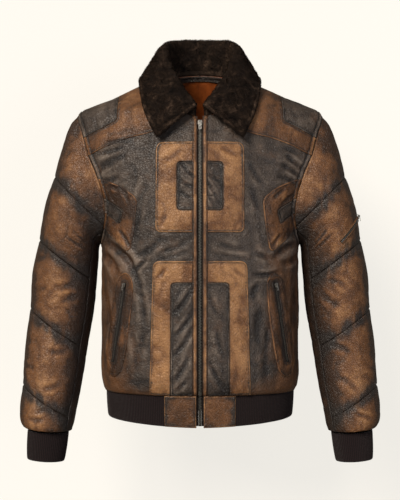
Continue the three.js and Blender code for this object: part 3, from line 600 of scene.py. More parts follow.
def new_finish(name):
    """An empty material with its output, and the place on the object in metres."""
    material = bpy.data.materials.new(name)
    material.use_nodes = True
    tree = material.node_tree
    tree.nodes.clear()
    output = add_node(tree, "ShaderNodeOutputMaterial")
    place = add_node(tree, "ShaderNodeTexCoord").outputs["Object"]
    return material, tree, output, place


def per_metre(size_mm):
    """A texture's scale for features of this size."""
    return 1 / (size_mm * MM)


NOISE, MATHS, RANGE = "ShaderNodeTexNoise", "ShaderNodeMath", "ShaderNodeMapRange"
CELLS, WAVES, BLEND = "ShaderNodeTexVoronoi", "ShaderNodeTexWave", "ShaderNodeMix"
VECTORS = "ShaderNodeVectorMath"


def mark_of(tree, name):
    """A mark that is painted on the mesh."""
    return add_node(tree, "ShaderNodeAttribute", {"attribute_name": name}).outputs["Fac"]


def clouded(tree, place, size, detail, **settings):
    """Clouds about as far apart as size, in millimetres."""
    settings = {"Scale": per_metre(size), "Detail": detail, **settings}
    return add_node(tree, NOISE, settings, {"Vector": place}).outputs["Fac"]


def with_more(tree, base, value, amount):
    """The base, which is a number or a socket, with an amount of the value added."""
    settings = {"operation": "MULTIPLY_ADD", 1: amount}
    links = {0: value}
    if isinstance(base, float):
        settings[2] = base
    else:
        links[2] = base
    return add_node(tree, MATHS, settings, links).outputs[0]


def coloured(tree, value, *stops):
    """Colours over a value, from stops of place and sRGB code, lowest first."""
    node = add_node(tree, "ShaderNodeValToRGB", None, {"Fac": value})
    ramp = node.color_ramp.elements
    for end, (place, code) in ((ramp[0], stops[0]), (ramp[1], stops[-1])):
        end.position = place
        end.color = linear(code)
    for place, code in stops[1:-1]:
        ramp.new(place).color = linear(code)
    return node.outputs["Color"]


def bumped(tree, height, strength, distance):
    node = add_node(tree, "ShaderNodeBump", {"Strength": strength, "Distance": distance}, {"Height": height})
    return node.outputs["Normal"]


def coat(tree, output, settings, links):
    """The surface that the light meets."""
    shader = add_node(tree, "ShaderNodeBsdfPrincipled", settings, links)
    tree.links.new(shader.outputs[0], output.inputs[0])


def rubbed_cowhide(name, deep, body, pale, burnt, mottle):
    """Cowhide, drum dyed, waxed and rubbed by hand: cloudy colour, dark burnt seams, fine crackle, and
    painted light and shade from the meshes' marks.
    """
    material, tree, output, place = new_finish(name)
    clouds = clouded(tree, place, 34, 5, Roughness=0.62)
    flecks = clouded(tree, place, 4.5, 4, Roughness=0.7)
    rub = clouded(tree, place, 12, 4, Roughness=0.6, Distortion=0.8)

    # The wax clouds over centimetres, and flecks over the grain. The glow mark adds random tone, wear,
    # painted highlights and some painted shade. The fold mark paints shade in creases and highlight on their
    # crests.
    tone = with_more(tree, mark_of(tree, "glow"), flecks, 0.3)
    tone = with_more(tree, tone, clouds, mottle)
    tone = with_more(tree, tone, rub, 0.34)
    tone = with_more(tree, tone, mark_of(tree, "fold"), 0.3)
    spread = add_node(tree, RANGE, {"From Min": 0.36, "From Max": 1.02}, {"Value": tone})
    colour = coloured(tree, spread.outputs["Result"], (0, deep), (0.5, body), (1, pale))

    # Fine crackle: the waxed face breaks into cells about 4 mm across where it has bent.
    bent = add_node(tree, NOISE, {"Scale": per_metre(7), "Detail": 3}, {"Vector": place})
    shift = add_node(tree, VECTORS, {"operation": "SCALE", "Scale": 0.0032}, {0: bent.outputs["Color"]})
    crackled = add_node(tree, VECTORS, {"operation": "ADD"}, {0: place, 1: shift.outputs[0]}).outputs[0]
    cell_settings = {"feature": "DISTANCE_TO_EDGE", "Scale": per_metre(4.2)}
    cells = add_node(tree, CELLS, cell_settings, {"Vector": crackled})
    lines = add_node(tree, RANGE, {"From Max": 0.11}, {"Value": cells.outputs["Distance"]}).outputs["Result"]
    dark_lines = with_more(tree, 0.83, lines, 0.17)
    lined = add_node(tree, BLEND, {"data_type": "RGBA", "blend_type": "MULTIPLY", 0: 1.0},
                     {6: colour, 7: dark_lines})

    # Where the dye has worn through, the dark hide shows its brown crust in clouds.
    ragged = with_more(tree, -0.9, clouds, 1.8)
    ragged = add_node(tree, MATHS, {"operation": "ADD"}, {0: mark_of(tree, "crust"), 1: ragged})
    bare = add_node(tree, RANGE, {"From Min": 0.1, "From Max": 1.1, "To Max": 0.85},
                    {"Value": ragged.outputs[0]})
    lined = add_node(tree, BLEND, {"data_type": "RGBA", 7: linear("#684427")},
                     {0: bare.outputs["Result"], 6: lined.outputs[2]})

    # Burnt wax at seams, in streaks that break up its edge. The same dark colour also paints shade in
    # grooves, under the collar and where the sleeves face the body.
    streaks = with_more(tree, -0.45, rub, 0.9)
    edge = add_node(tree, MATHS, {"operation": "ADD"}, {0: mark_of(tree, "burnish_and_shade"), 1: streaks})
    burnt_and_shaded_settings = {"interpolation_type": "SMOOTHSTEP", "From Min": 0.04, "From Max": 1.0, "To Max": 0.95}
    burnt_and_shaded_share = add_node(tree, RANGE, burnt_and_shaded_settings, {"Value": edge.outputs[0]})
    worn = add_node(tree, BLEND, {"data_type": "RGBA", 7: linear(burnt)},
                    {0: burnt_and_shaded_share.outputs["Result"], 6: lined.outputs[2]})

    # The grain stands up between the crackle. The waxed high spots shine more than the dry ones.
    gloss = add_node(tree, RANGE, {"To Min": 0.36, "To Max": 0.62}, {"Value": flecks})
    grain = add_node(tree, CELLS, {"Scale": per_metre(1.5)}, {"Vector": crackled})
    height = with_more(tree, lines, grain.outputs["Distance"], 0.22)
    height = with_more(tree, height, rub, 1.6)
    # Slack creases about 20 mm apart, too soft to be in the mesh.
    slack = clouded(tree, place, 20, 3, Roughness=0.5, Distortion=1.4)
    ridged = add_node(tree, MATHS, {"operation": "PINGPONG", 1: 0.5}, {0: slack})
    height = with_more(tree, height, ridged.outputs[0], -4.0)
    coat(tree, output, {"IOR": 1.5, "Specular IOR Level": 0.5},
         {"Base Color": worn.outputs[2], "Roughness": gloss.outputs["Result"],
          "Normal": bumped(tree, height, 0.6, 0.0012)})
    return material


def flesh_side():
    """The suede underside of the hide, brushed: matt, with a short nap."""
    material, tree, output, place = new_finish("hide_flesh_side")
    nap = clouded(tree, place, 2, 4)
    colour = coloured(tree, nap, (0, "#2d1d12"), (1, "#553a26"))
    coat(tree, output, {"Roughness": 0.92, "Sheen Weight": 0.2},
         {"Base Color": colour, "Normal": bumped(tree, nap, 0.5, 0.0006)})
    return material


def sheared_wool():
    """Shearling, dyed dark brown and sheared: matt, soft at grazing light, paler at worn tips, with painted
    highlights on the collar's hide.
    """
    material, tree, output, place = new_finish("shearling_sheared")
    locks = clouded(tree, place, 16, 4, Roughness=0.65, Distortion=0.6)
    pile = clouded(tree, place, 2.4, 3, Roughness=0.7)
    # The tip mark is paler at the pile's tips, and on the hide it is a painted highlight along the rolled
    # edge and in patches.
    tone = with_more(tree, locks, mark_of(tree, "tip"), 0.22)
    tone = with_more(tree, tone, pile, 0.5)
    spread = add_node(tree, RANGE, {"From Min": 0.55, "From Max": 1.12}, {"Value": tone})
    colour = coloured(tree, spread.outputs["Result"], (0, "#0b0706"), (0.5, "#211812"), (1, "#5a483b"))
    coat(tree, output,
         {"Roughness": 0.95, "Specular IOR Level": 0.15, "Sheen Weight": 0.12, "Sheen Roughness": 0.5,
          "Sheen Tint": linear("#8a7260")},
         {"Base Color": colour, "Normal": bumped(tree, pile, 0.8, 0.0016)})
    return material


def rib_knit():
    """Wool rib, knitted in one and one rib: matt, dark wine brown, with painted shade between the ribs."""
    material, tree, output, place = new_finish("wool_rib_knitted")
    ridge = mark_of(tree, "ridge")
    fuzz = clouded(tree, place, 1.6, 3)
    height = add_node(tree, "ShaderNodeSeparateXYZ", None, {0: place}).outputs["Z"]
    # A real stitch is about 2.2 mm tall. It is drawn a little taller, so that it shows.
    turns = 2 * math.pi * per_metre(2.6)
    loops = add_node(tree, MATHS, {"operation": "MULTIPLY", 1: turns}, {0: height})
    loops = add_node(tree, MATHS, {"operation": "SINE"}, {0: loops.outputs[0]})
    # The ridge mark paints shade between the ribs.
    tone = with_more(tree, ridge, fuzz, 0.35)
    colour = coloured(tree, tone, (0, "#060304"), (0.6, "#120809"), (1, "#221213"))
    lift = with_more(tree, fuzz, loops.outputs[0], 0.4)
    coat(tree, output, {"Roughness": 0.9, "Specular IOR Level": 0.2, "Sheen Weight": 0.15},
         {"Base Color": colour, "Normal": bumped(tree, lift, 0.7, 0.0006)})
    return material


def quilted_satin():
    """Rust satin, woven and quilted: a soft shine that breaks over the quilting."""
    material, tree, output, place = new_finish("satin_woven_rust")
    colour = coloured(tree, clouded(tree, place, 14, 3), (0, "#5a270b"), (1, "#a9561f"))
    weave = add_node(tree, WAVES, {"Scale": per_metre(1.2), "Distortion": 0.5}, {"Vector": place})
    coat(tree, output, {"Roughness": 0.42, "Sheen Weight": 0.3, "Sheen Roughness": 0.35},
         {"Base Color": colour, "Normal": bumped(tree, weave.outputs["Fac"], 0.25, 0.0003)})
    return material


def woven_tape():
    """Zip tape, woven polyester: matt black-brown with a herringbone too fine to see, drawn at 1 mm."""
    material, tree, output, place = new_finish("polyester_tape_woven")
    settings = {"bands_direction": "DIAGONAL", "Scale": per_metre(2)}
    weave = add_node(tree, WAVES, settings, {"Vector": place}).outputs["Fac"]
    colour = coloured(tree, weave, (0, "#0b0a0a"), (1, "#242020"))
    coat(tree, output, {"Roughness": 0.85, "Specular IOR Level": 0.25},
         {"Base Color": colour, "Normal": bumped(tree, weave, 0.4, 0.0003)})
    return material


def plated_metal(name, dark, light, rough):
    """Cast and plated metal, worn: grey, with brighter and duller patches over millimetres."""
    material, tree, output, place = new_finish(name)
    wear = clouded(tree, place, 2.5, 5, Roughness=0.7)
    colour = coloured(tree, wear, (0.35, dark), (0.65, light))
    gloss = add_node(tree, RANGE, {"To Min": rough, "To Max": rough + 0.2}, {"Value": wear})
    coat(tree, output, {"Metallic": 1.0},
         {"Base Color": colour, "Roughness": gloss.outputs["Result"],
          "Normal": bumped(tree, wear, 0.2, 0.0002)})
    return material


def bonded_thread(name, dark, light):
    """Bonded nylon thread, twisted: a low shine, rubbed pale in places."""
    material, tree, output, place = new_finish(name)
    colour = coloured(tree, clouded(tree, place, 9, 3), (0.35, dark), (0.7, light))
    coat(tree, output, {"Roughness": 0.6}, {"Base Color": colour})
    return material


def studio_paper(name, code, glow_code, lit):
    """Matt studio paper, cream, seen and lit from its front only, so that no view is shut off."""
    material, tree, output, place = new_finish(name)
    bump = add_node(tree, "ShaderNodeBump", {"Strength": 0.03}, {"Height": clouded(tree, place, 6, 2)})
    matt = add_node(tree, "ShaderNodeBsdfDiffuse", {"Color": linear(code)},
                    {"Normal": bump.outputs["Normal"]})
    # To the eye it also glows a little, so that it stays pale and even. It lights nothing by that.
    seen = add_node(tree, "ShaderNodeLightPath").outputs["Is Camera Ray"]
    glow = add_node(tree, MATHS, {"operation": "MULTIPLY", 1: lit}, {0: seen})
    own = add_node(tree, "ShaderNodeEmission", {"Color": linear(glow_code)}, {"Strength": glow.outputs[0]})
    front = add_node(tree, "ShaderNodeAddShader", None, {0: matt.outputs[0], 1: own.outputs[0]})
    behind = add_node(tree, "ShaderNodeNewGeometry").outputs["Backfacing"]
    clear = add_node(tree, "ShaderNodeBsdfTransparent")
    either = add_node(tree, "ShaderNodeMixShader", None,
                      {0: behind, 1: front.outputs[0], 2: clear.outputs[0]})
    tree.links.new(either.outputs[0], output.inputs[0])
    return material


# ---------- Camera, floor and light ----------
def make_camera():
    data = bpy.data.cameras.new("camera")
    data.sensor_width = 36
    data.lens = 86.25
    camera = bpy.data.objects.new("camera", data)
    camera.location = (0, -2.3, -0.331)
    camera.rotation_euler = (math.radians(90), 0, 0)
    bpy.context.collection.objects.link(camera)
    bpy.context.scene.camera = camera


def make_plane(name, corners, material):
    mesh = bpy.data.meshes.new(name)
    mesh.from_pydata(corners, [], [list(range(len(corners)))])
    mesh.materials.append(material)
    piece = bpy.data.objects.new(name, mesh)
    bpy.context.collection.objects.link(piece)


def make_light(kind, name, place, toward, size, strength, code):
    data = bpy.data.lights.new(name, kind)
    if kind == "AREA":
        data.shape = "DISK"
        data.size = size
    else:
        data.angle = size
    data.energy = strength
    data.color = linear(code)[:3]
    lamp = bpy.data.objects.new(name, data)
    lamp.location = place
    aim = unit(np.subtract(toward, place))
    lamp.rotation_euler = (math.acos(-aim[2]), 0, math.atan2(-aim[0], aim[1]))
    bpy.context.collection.objects.link(lamp)


def make_stage():
    """A pale floor far below the hem, cream paper behind, and soft light from high on the left."""
    floor_z, half = -1.05, 6
    make_plane("floor", [(-half, -half, floor_z), (half, -half, floor_z), (half, half, floor_z),
                         (-half, half, floor_z)], studio_paper("paper_floor", "#7b7872", "#f8f5ee", 0.82))
    behind = 0.34
    make_plane("backdrop", [(-2.2, behind, floor_z), (2.2, behind, floor_z), (2.2, behind, 1.6),
                            (-2.2, behind, 1.6)], studio_paper("paper_backdrop", "#7b7872", "#f8f5ee", 0.85))
    world = bpy.data.worlds.new("studio")
    bpy.context.scene.world = world
    world.use_nodes = True
    tree = world.node_tree
    tree.nodes.clear()
    seen = add_node(tree, "ShaderNodeBackground", {"Color": linear("#f8f3ea"), "Strength": 1.0})
    lit = add_node(tree, "ShaderNodeBackground", {"Color": linear("#f3efe8"), "Strength": 0.2})
    path = add_node(tree, "ShaderNodeLightPath")
    either = add_node(tree, "ShaderNodeMixShader", None,
                      {0: path.outputs["Is Camera Ray"], 1: lit.outputs[0], 2: seen.outputs[0]})
    add_node(tree, "ShaderNodeOutputWorld", None, {0: either.outputs[0]})
    middle = (0, 0, -0.3)
    make_light("SUN", "key", (-1.3, -2.2, 1.2), middle, math.radians(26), 3.5, "#fff6ea")
    make_light("AREA", "fill", (2.6, -3.6, 0.2), middle, 2.0, 40, "#eef2ff")
    make_light("AREA", "rear", (0.6, 2.4, 0.9), middle, 1.6, 40, "#fff8f0")
    view = bpy.context.scene.view_settings
    view.view_transform = "Standard"
    view.look = "None"


make_camera()
make_stage()
TAN = rubbed_cowhide("cowhide_rubbed_tan", "#331f10", "#6d4728", "#ad7f53", "#211b18", 0.56)
DARK = rubbed_cowhide("cowhide_rubbed_dark", "#1c1512", "#453a32", "#7b6e63", "#120f0d", 0.62)
SUEDE = flesh_side()
WOOL = sheared_wool()
KNIT = rib_knit()
SATIN = quilted_satin()
TAPE = woven_tape()
GUNMETAL = plated_metal("zinc_plated_nickel_worn", "#8a8884", "#dcd9d3", 0.22)
TEETH = plated_metal("brass_teeth_plated_dark", "#6a6761", "#a8a49c", 0.38)
THREAD = bonded_thread("nylon_thread_brown", "#241a14", "#6e5238")


# ---------- Relief shared by every piece of a front or the back ----------
def creased(across, height, creases):
    """Soft troughs with raised sides, each along its own bent line."""
    relief = np.zeros(np.shape(across))
    for x0, z0, x1, z1, deep, wide, bend in creases:
        run_x, run_z = x1 - x0, z1 - z0
        length = math.hypot(run_x, run_z)
        along = ((across - x0) * run_x + (height - z0) * run_z) / length**2
        off = ((across - x0) * run_z - (height - z0) * run_x) / length
        off = off - bend * 4 * along * (1 - along)
        fade = smooth(-0.12, 0.3, along) * smooth(-0.12, 0.3, 1 - along)
        relief += fade * deep * (-bell(off, wide) + 0.5 * bell(np.abs(off) - 1.9 * wide, wide))
    return relief


def crumpled(points, seed):
    """The unevenness of soft old leather: slow swells, and valleys where it has folded."""
    swells = unevenness(points, 42, seed) * 0.9 + unevenness(points, 17, seed + 1) * 0.5
    folds = -bell(unevenness(points * [1, 1, 0.8], 26, seed + 2), 0.17) * 0.55
    fine = unevenness(points, 8, seed + 3) * 0.22
    return swells, folds + fine


def puckered(points, distance, seed, reach=9, deep=0.5):
    """Small gathers that run out from a seam."""
    return deep * np.exp(-distance / reach) * unevenness(points, 6.5, seed)


def front_border():
    """Points close together along a front's own edge, on the wearer's left."""
    heights = np.linspace(LEATHER_BOTTOM_Z, FRONT_NECK_Z, 260)
    side = np.linspace(LEATHER_BOTTOM_Z, UNDERARM_Z, 140)
    middle = body_turn(turn_of(FRONT_EDGE_X, heights), heights, -1)
    hem_turns = np.linspace(turn_of(FRONT_EDGE_X, LEATHER_BOTTOM_Z), QUARTER, 130)
    hem = body_turn(hem_turns, np.full(130, float(LEATHER_BOTTOM_Z)), -1)
    neck_x, neck_z = neck_seam(np.linspace(0.09, QUARTER, 60))
    neck = body_point(neck_x, neck_z, -1)
    shoulder_z = np.linspace(0, SHOULDER_Z, 90)
    shoulder = body_turn(np.full(90, QUARTER), shoulder_z, -1)
    side = body_turn(np.full(140, QUARTER), side, -1)
    return np.concatenate([middle, hem, neck, shoulder, side])


ARMHOLE_FRONT = armhole(np.linspace(0, math.pi, 200))[3]
ARMHOLE_BACK = armhole(np.linspace(0, -math.pi, 200))[3]
BORDER_TREE = tree_of(np.concatenate([front_border(), ARMHOLE_FRONT]))
ARMHOLE_TREE = tree_of(np.concatenate([ARMHOLE_FRONT, ARMHOLE_BACK]))


def armhole_welt(distance):
    """The folded welt on the body's side of the armhole seam: raised 7 mm wide, then a groove."""
    raised = smooth(0, 1.6, distance) - smooth(6.2, 8.2, distance)
    return 1.6 * raised - 1.0 * bell(distance - 9, 1.5) + 0.5 * bell(distance - 14, 4)


def welt_light_and_shade(distance):
    """Painted highlight along the welt's top, and painted shade in the grooves on both its sides and beside
    the armhole.
    """
    darkening = 1.0 * bell(distance, 1.6) + 0.95 * bell(distance - 8.9, 1.5) + 0.25 * np.exp(-distance / 14)
    return darkening * (1 - bell(distance - 4, 1.8)), 0.34 * bell(distance - 4, 2.4)


def pocket_distance(points):
    """How far each point is from the pocket's zip, which holds the leather flat."""
    start, run = np.array(POCKET_TOP), np.subtract(POCKET_BOTTOM, POCKET_TOP)
    flat = points[..., [0, 2]] - start
    share = np.clip(flat @ run / (run @ run), 0, 1)
    return np.linalg.norm(flat - share[..., None] * run, axis=-1)


def front_relief(points, hand):
    """How far the leather stands out of its plain shape, and how sharply it is folded there: the fold mark,
    which paints shade in its troughs and highlight on its crests.
    """
    left = for_hand(points, hand)
    border = distance_to(BORDER_TREE, left)
    hole = distance_to(ARMHOLE_TREE, left)
    calm = smooth(1, 14, border)
    swells, folds = crumpled(points, 11)
    lines = 1.35 * creased(left[..., 0], left[..., 2], CREASES[hand])
    hem = np.exp(-np.maximum(points[..., 2] - LEATHER_BOTTOM_Z, 0) / 16)
    gathers = hem * unevenness(points * [1, 1, 0.2], 9, 31) * 1.1 * smooth(0, 3, border)
    relief = calm * (swells + folds + lines) + gathers
    relief += puckered(points, hole, 17, 12, 0.6) * smooth(0, 3, hole)
    relief = relief * smooth(5, 18, pocket_distance(left)) + armhole_welt(hole)
    # The fold mark: painted shade in troughs and painted highlight on crests.
    fold = np.clip(0.9 * folds + 0.7 * lines + 0.5 * gathers, -1, 1)
    return relief, fold


# ---------- Fronts and back ----------
def body_cells(side, inner_x, columns, low_rows, high_rows):
    """A grid of points from the middle to the side seam or armhole, and up from the hem."""
    shares = uneven_shares(columns, 8, 0.055)
    low = np.linspace(LEATHER_BOTTOM_Z, UNDERARM_Z, low_rows, endpoint=False)
    rise = np.linspace(0, 1, high_rows)
    hole_turn, hole_z, _, _ = armhole(math.pi * (1 - rise) * -side)
    straight = rise < NECK_SHARE
    part = np.clip((rise - NECK_SHARE) / (1 - NECK_SHARE), 0, 1)
    front = side < 0
    neck_z = FRONT_NECK_Z if front else BACK_NECK_Z
    start = math.asin(inner_x / NECK_HALF_WIDTH) if front else math.pi
    seam_x, seam_z = neck_seam(mix(start, QUARTER, part))
    inner_z = np.where(straight, mix(UNDERARM_Z, neck_z, rise / NECK_SHARE), seam_z)
    inner_across = np.where(straight, inner_x, np.maximum(seam_x, inner_x))
    start_turn = np.concatenate([turn_of(inner_x, low), turn_of(inner_across, inner_z)])[:, None]
    end_turn = np.concatenate([np.full(low_rows, QUARTER), hole_turn])[:, None]
    start_z = np.concatenate([low, inner_z])[:, None]
    end_z = np.concatenate([low, hole_z])[:, None]
    turn = mix(start_turn, end_turn, shares)
    z = mix(start_z, end_z, shares)
    points = body_turn(turn, z, side)
    return points, body_normal(points)


FRONT_GAP = np.array([0, -GAP / 2, 0])  # half the gap at the side seam
SURFACES = {1: [], -1: []}  # what faces the front on each side, for what is sewn on later


def laid_seams():
    """Points along every laid outline, as a tree, for the gathers in the leather beside it."""
    seams = []
    for name, outline in LAID_OUTLINES.items():
        if name not in ("pocket_zip", "side_flash", "chest_inset", "belly_inset"):
            x, z = rounded(outline, 2.5).T
            seams.append(body_point(np.minimum(x, 236), z, -1)[z < 5])
    return tree_of(np.concatenate(seams))


def rounded(outline, spacing):
    """An outline's points, close together, with its corners rounded."""
    path = []
    corners = [np.array(p[:2], float) for p in outline]
    for i, (_, _, radius) in enumerate(outline):
        corner = corners[i]
        if not radius:
            path.append(corner)
            continue
        before = corner + unit(corners[i - 1] - corner) * radius
        after = corner + unit(corners[(i + 1) % len(corners)] - corner) * radius
        for t in np.linspace(0, 1, max(4, int(radius / 1.2))):
            path.append((1 - t) ** 2 * before + 2 * t * (1 - t) * corner + t * t * after)
    dense = []
    for a, b in zip(path, path[1:] + path[:1]):
        steps = max(1, int(np.linalg.norm(b - a) / spacing))
        dense.extend(mix(a, b, s / steps) for s in range(steps))
    return np.array(dense)


def make_fronts():
    plain, outward = body_cells(-1, FRONT_EDGE_X, 62, 84, 96)
    faces = grid_faces(*plain.shape[:2])
    seam_tree = laid_seams()
    for hand, label in SIDES:
        points, normals = for_hand(plain, hand), for_hand(outward, hand)
        relief, fold = front_relief(points, hand)
        seam = distance_to(seam_tree, plain)
        relief = relief + 0.7 * bell(seam - 5, 3) - 0.3 * bell(seam, 1.5) + puckered(points, seam, 23)
        welt_shade, welt_highlight = welt_light_and_shade(distance_to(ARMHOLE_TREE, plain))
        # Painted shade at the foot of the laid pieces' raised edges, with the armhole welt's painted shade.
        darkening = 0.6 * np.exp(-seam / 2.2) + welt_shade
        side_wear = smooth(108, 150, plain[..., 0]) * smooth(-290, -350, plain[..., 2])
        low_wear = np.exp(-(plain[..., 2] - LEATHER_BOTTOM_Z) / 16)
        streaks = unevenness(points * [1, 1, 0.18], 9, 41)
        crust = side_wear * (0.65 + 0.35 * streaks) + 0.8 * low_wear
        # Random tone and worn sides, with the armhole welt's painted highlight.
        glow = 0.1 * unevenness(points, 60, 5) + 0.12 * side_wear * streaks + welt_highlight
        moved = points + normals * relief[..., None] + FRONT_GAP
        marks = {"burnish_and_shade": darkening, "glow": glow, "fold": fold, "crust": crust}
        piece = wall(f"front_{label}_leather", moved, faces, normals, LEATHER, [DARK, SUEDE], marks)
        settle(piece, "leather_dark", f"front_{label}")
        declare_grid_cut(plain, faces)
        SURFACES[hand].append((moved, faces))


def merged(points, faces):
    """Joins points that are in the same place."""
    _, first, back = np.unique(np.round(points, 3), axis=0, return_index=True, return_inverse=True)
    return first, back.reshape(-1)[faces]


def whole_back(plain, outward):
    """The left half of the back joined to the same for the right."""
    half = grid_faces(*plain.shape[:2])
    left, out_left = flat_rows(plain), flat_rows(outward)
    points = np.concatenate([left, for_hand(left, -1)])
    normals = np.concatenate([out_left, for_hand(out_left, -1)])
    first, faces = merged(points, np.concatenate([half, half[:, ::-1] + len(left)]))
    return points[first], normals[first], faces


def make_back():
    plain, outward = body_cells(1, 0, 72, 76, 92)
    points, normals, faces = whole_back(plain, outward)
    hole = distance_to(ARMHOLE_TREE, np.stack([np.abs(points[:, 0]), points[:, 1], points[:, 2]], -1))
    calm = smooth(1, 16, hole) * smooth(1, 16, points[:, 2] - LEATHER_BOTTOM_Z)
    swells, folds = crumpled(points, 61)
    right_creases = [(x0, z0 - 12, x1 - 8, z1 - 18, deep, wide, -bend)
                     for x0, z0, x1, z1, deep, wide, bend in BACK_CREASES]
    lines = np.where(points[:, 0] > 0, creased(points[:, 0], points[:, 2], BACK_CREASES),
                     creased(-points[:, 0], points[:, 2], right_creases))
    lines *= smooth(0, 14, np.abs(points[:, 0]))
    hem = np.exp(-np.maximum(points[:, 2] - LEATHER_BOTTOM_Z, 0) / 16)
    gathers = hem * unevenness(points * [1, 1, 0.2], 9, 33) * 1.2
    relief = calm * (swells + folds + lines) + gathers + armhole_welt(hole)
    # The fold mark paints shade in the troughs and highlight on the crests.
    fold = np.clip(0.9 * folds + 0.6 * lines + 0.5 * gathers, -1, 1)
    # The armhole welt's painted shade and highlight, random tone, and painted highlight and shade across the
    # creases.
    darkening, glow = welt_light_and_shade(hole)
    glow = glow + 0.12 * unevenness(points, 70, 7) + 0.05 * lines
    side_wear = smooth(110, 165, np.abs(points[:, 0])) * smooth(-290, -350, points[:, 2])
    crust = 0.6 * side_wear + 0.8 * np.exp(-(points[:, 2] - LEATHER_BOTTOM_Z) / 16)
    moved = points + normals * relief[:, None] - FRONT_GAP
    piece = wall("back_leather", moved, faces, normals, LEATHER, [DARK, SUEDE],
                 {"burnish_and_shade": darkening, "glow": glow, "fold": fold, "crust": crust})
    settle(piece, "leather_dark", "back")
    width, length = arc_lengths(plain)
    declare_cut(2 * width, length, area_of(points, faces))


# ---------- Leather laid on the fronts ----------
SKIN_TURN = 190  # millimetres for each radian of turn, so that a laid piece can be meshed flat


def on_skin(flat):
    """x and z as turn and z in millimetres, and on past the side where x is wider than the body."""
    past = np.maximum(flat[:, 0] - body_section(flat[:, 1])[0], 0)
    return np.stack([turn_of(flat[:, 0], flat[:, 1]) * SKIN_TURN + past, flat[:, 1]], -1)


def front_limits():
    """A front's whole edge, as turn and z."""
    start = math.asin(FRONT_EDGE_X / NECK_HALF_WIDTH)
    middle_z = np.linspace(LAID_BOTTOM_Z, neck_seam(start)[1], 240)
    middle = np.stack([turn_of(FRONT_EDGE_X, middle_z), middle_z], -1)
    neck_x, neck_z = neck_seam(np.linspace(start, QUARTER - 0.01, 60)[1:])
    neck = np.stack([turn_of(neck_x, neck_z), neck_z], -1)
    shoulder = np.array([(QUARTER, z) for z in np.linspace(0, SHOULDER_Z, 40)])
    hole_turn, hole_z, _, _ = armhole(np.linspace(0, math.pi, 160)[1:])
    hole = np.stack([hole_turn, hole_z], -1)
    side = np.array([(QUARTER, UNDERARM_Z - 10), (QUARTER, LAID_BOTTOM_Z)])
    limits = np.concatenate([middle, neck, shoulder, hole, side])
    return limits * [SKIN_TURN, 1]


def turned_left(loop):
    """A closed line, so that its inside is on its left."""
    after = np.roll(loop, -1, axis=0)
    turn = np.sum(loop[:, 0] * after[:, 1] - loop[:, 1] * after[:, 0])
    return loop if turn > 0 else loop[::-1]


def inset_points(loop, distances):
    """Points beside a closed line, on both its sides."""
    ahead = np.roll(loop, -1, axis=0) - np.roll(loop, 1, axis=0)
    beside = unit(np.stack([-ahead[:, 1], ahead[:, 0]], -1))
    return np.concatenate([loop + beside * d * sign for d in distances for sign in (-1, 1)])


def flat_piece(outline, hole, spacing):
    """Triangles of a laid piece in skin millimetres, cut to the front's edge, and its rim's points."""
    edge = on_skin(rounded(outline, 2.2))
    limits = front_limits()
    loops = [turned_left(edge), turned_left(limits)]
    if hole is not None:
        loops.append(turned_left(on_skin(rounded(hole, 2.2))))
    low, high = edge.min(0), edge.max(0)
    rows = np.arange(low[1], high[1], spacing * 0.87)
    columns = np.arange(low[0], high[0], spacing)
    grid = np.array([(a + (j % 2) * spacing / 2, z) for j, z in enumerate(rows) for a in columns])
    beside = inset_points(edge, (1.1, 2.6))
    near = inset_points(limits, (2.4, 6.2, 8, 9.4))
    near = near[((near > low) & (near < high)).all(1)]
    beside_hole = inset_points(loops[2], (1.2, 2.8)) if hole is not None else np.zeros((0, 2))
    rings = np.concatenate([beside, near, beside_hole])
    tree = tree_of(np.pad(np.concatenate([rings, *loops]), ((0, 0), (0, 1))))
    grid = grid[distance_to(tree, np.pad(grid, ((0, 0), (0, 1)))) > spacing * 0.55]
    corners = np.concatenate([*loops, rings, grid])
    ends = np.cumsum([0] + [len(loop) for loop in loops])
    wanted = [list(range(a, b)) for a, b in zip(ends, ends[1:])]
    made = delaunay_2d_cdt(corners.tolist(), [], wanted, 1, 1e-4, True)
    keep = [face for face, of in zip(made[2], made[5]) if 0 in of and 1 in of and 2 not in of]
    faces = np.array(keep)
    used, faces = np.unique(faces, return_inverse=True)
    return np.array([tuple(v) for v in made[0]])[used], faces.reshape(-1, 3)


def open_edge_points(points, faces):
    """The points on a flat piece's open edges."""
    start = faces.reshape(-1)
    end = np.roll(faces, -1, axis=1).reshape(-1)
    count = len(points)
    alone = ~np.isin(start * count + end, end * count + start)
    a, b = points[start[alone]], points[end[alone]]
    return np.concatenate([a, (a + b) / 2])


def laid_height(name, x, edge, inner, hole):
    """How far a laid piece's face stands above the front: a turned edge, a ditch, then padded."""
    if name == "pocket_zip":
        return 0.5 + 0 * edge
    height = 0.45 + (LAID + GAP - 0.45) * smooth(0, 1.6, edge) ** 0.7
    if name == "zip_border":
        # A rolled edge beside the zip, a second fold, then the flat of the border.
        return height + 1.3 * bell(x - 6.9, 1.0) + 0.9 * bell(x - 9.9, 0.8) - 0.7 * bell(x - 8.5, 0.6)
    height = height + 0.6 * bell(edge - 1.4, 0.9) - 0.8 * bell(edge - 3.5, 1.0) + 1.0 * smooth(3, 16, edge)
    height = height - 0.5 * bell(inner - 1, 1.6)
    if hole is not None:
        height = height * smooth(-4, 12, hole) + 0.4 * bell(hole - 2.4, 1.3) - 0.3 * bell(hole - 5.6, 1.2)
    return height


DARK_BESIDE_ZIP = [(-90, -133), (-170, -258.5), (-299, -351), (-390.5, -600)]


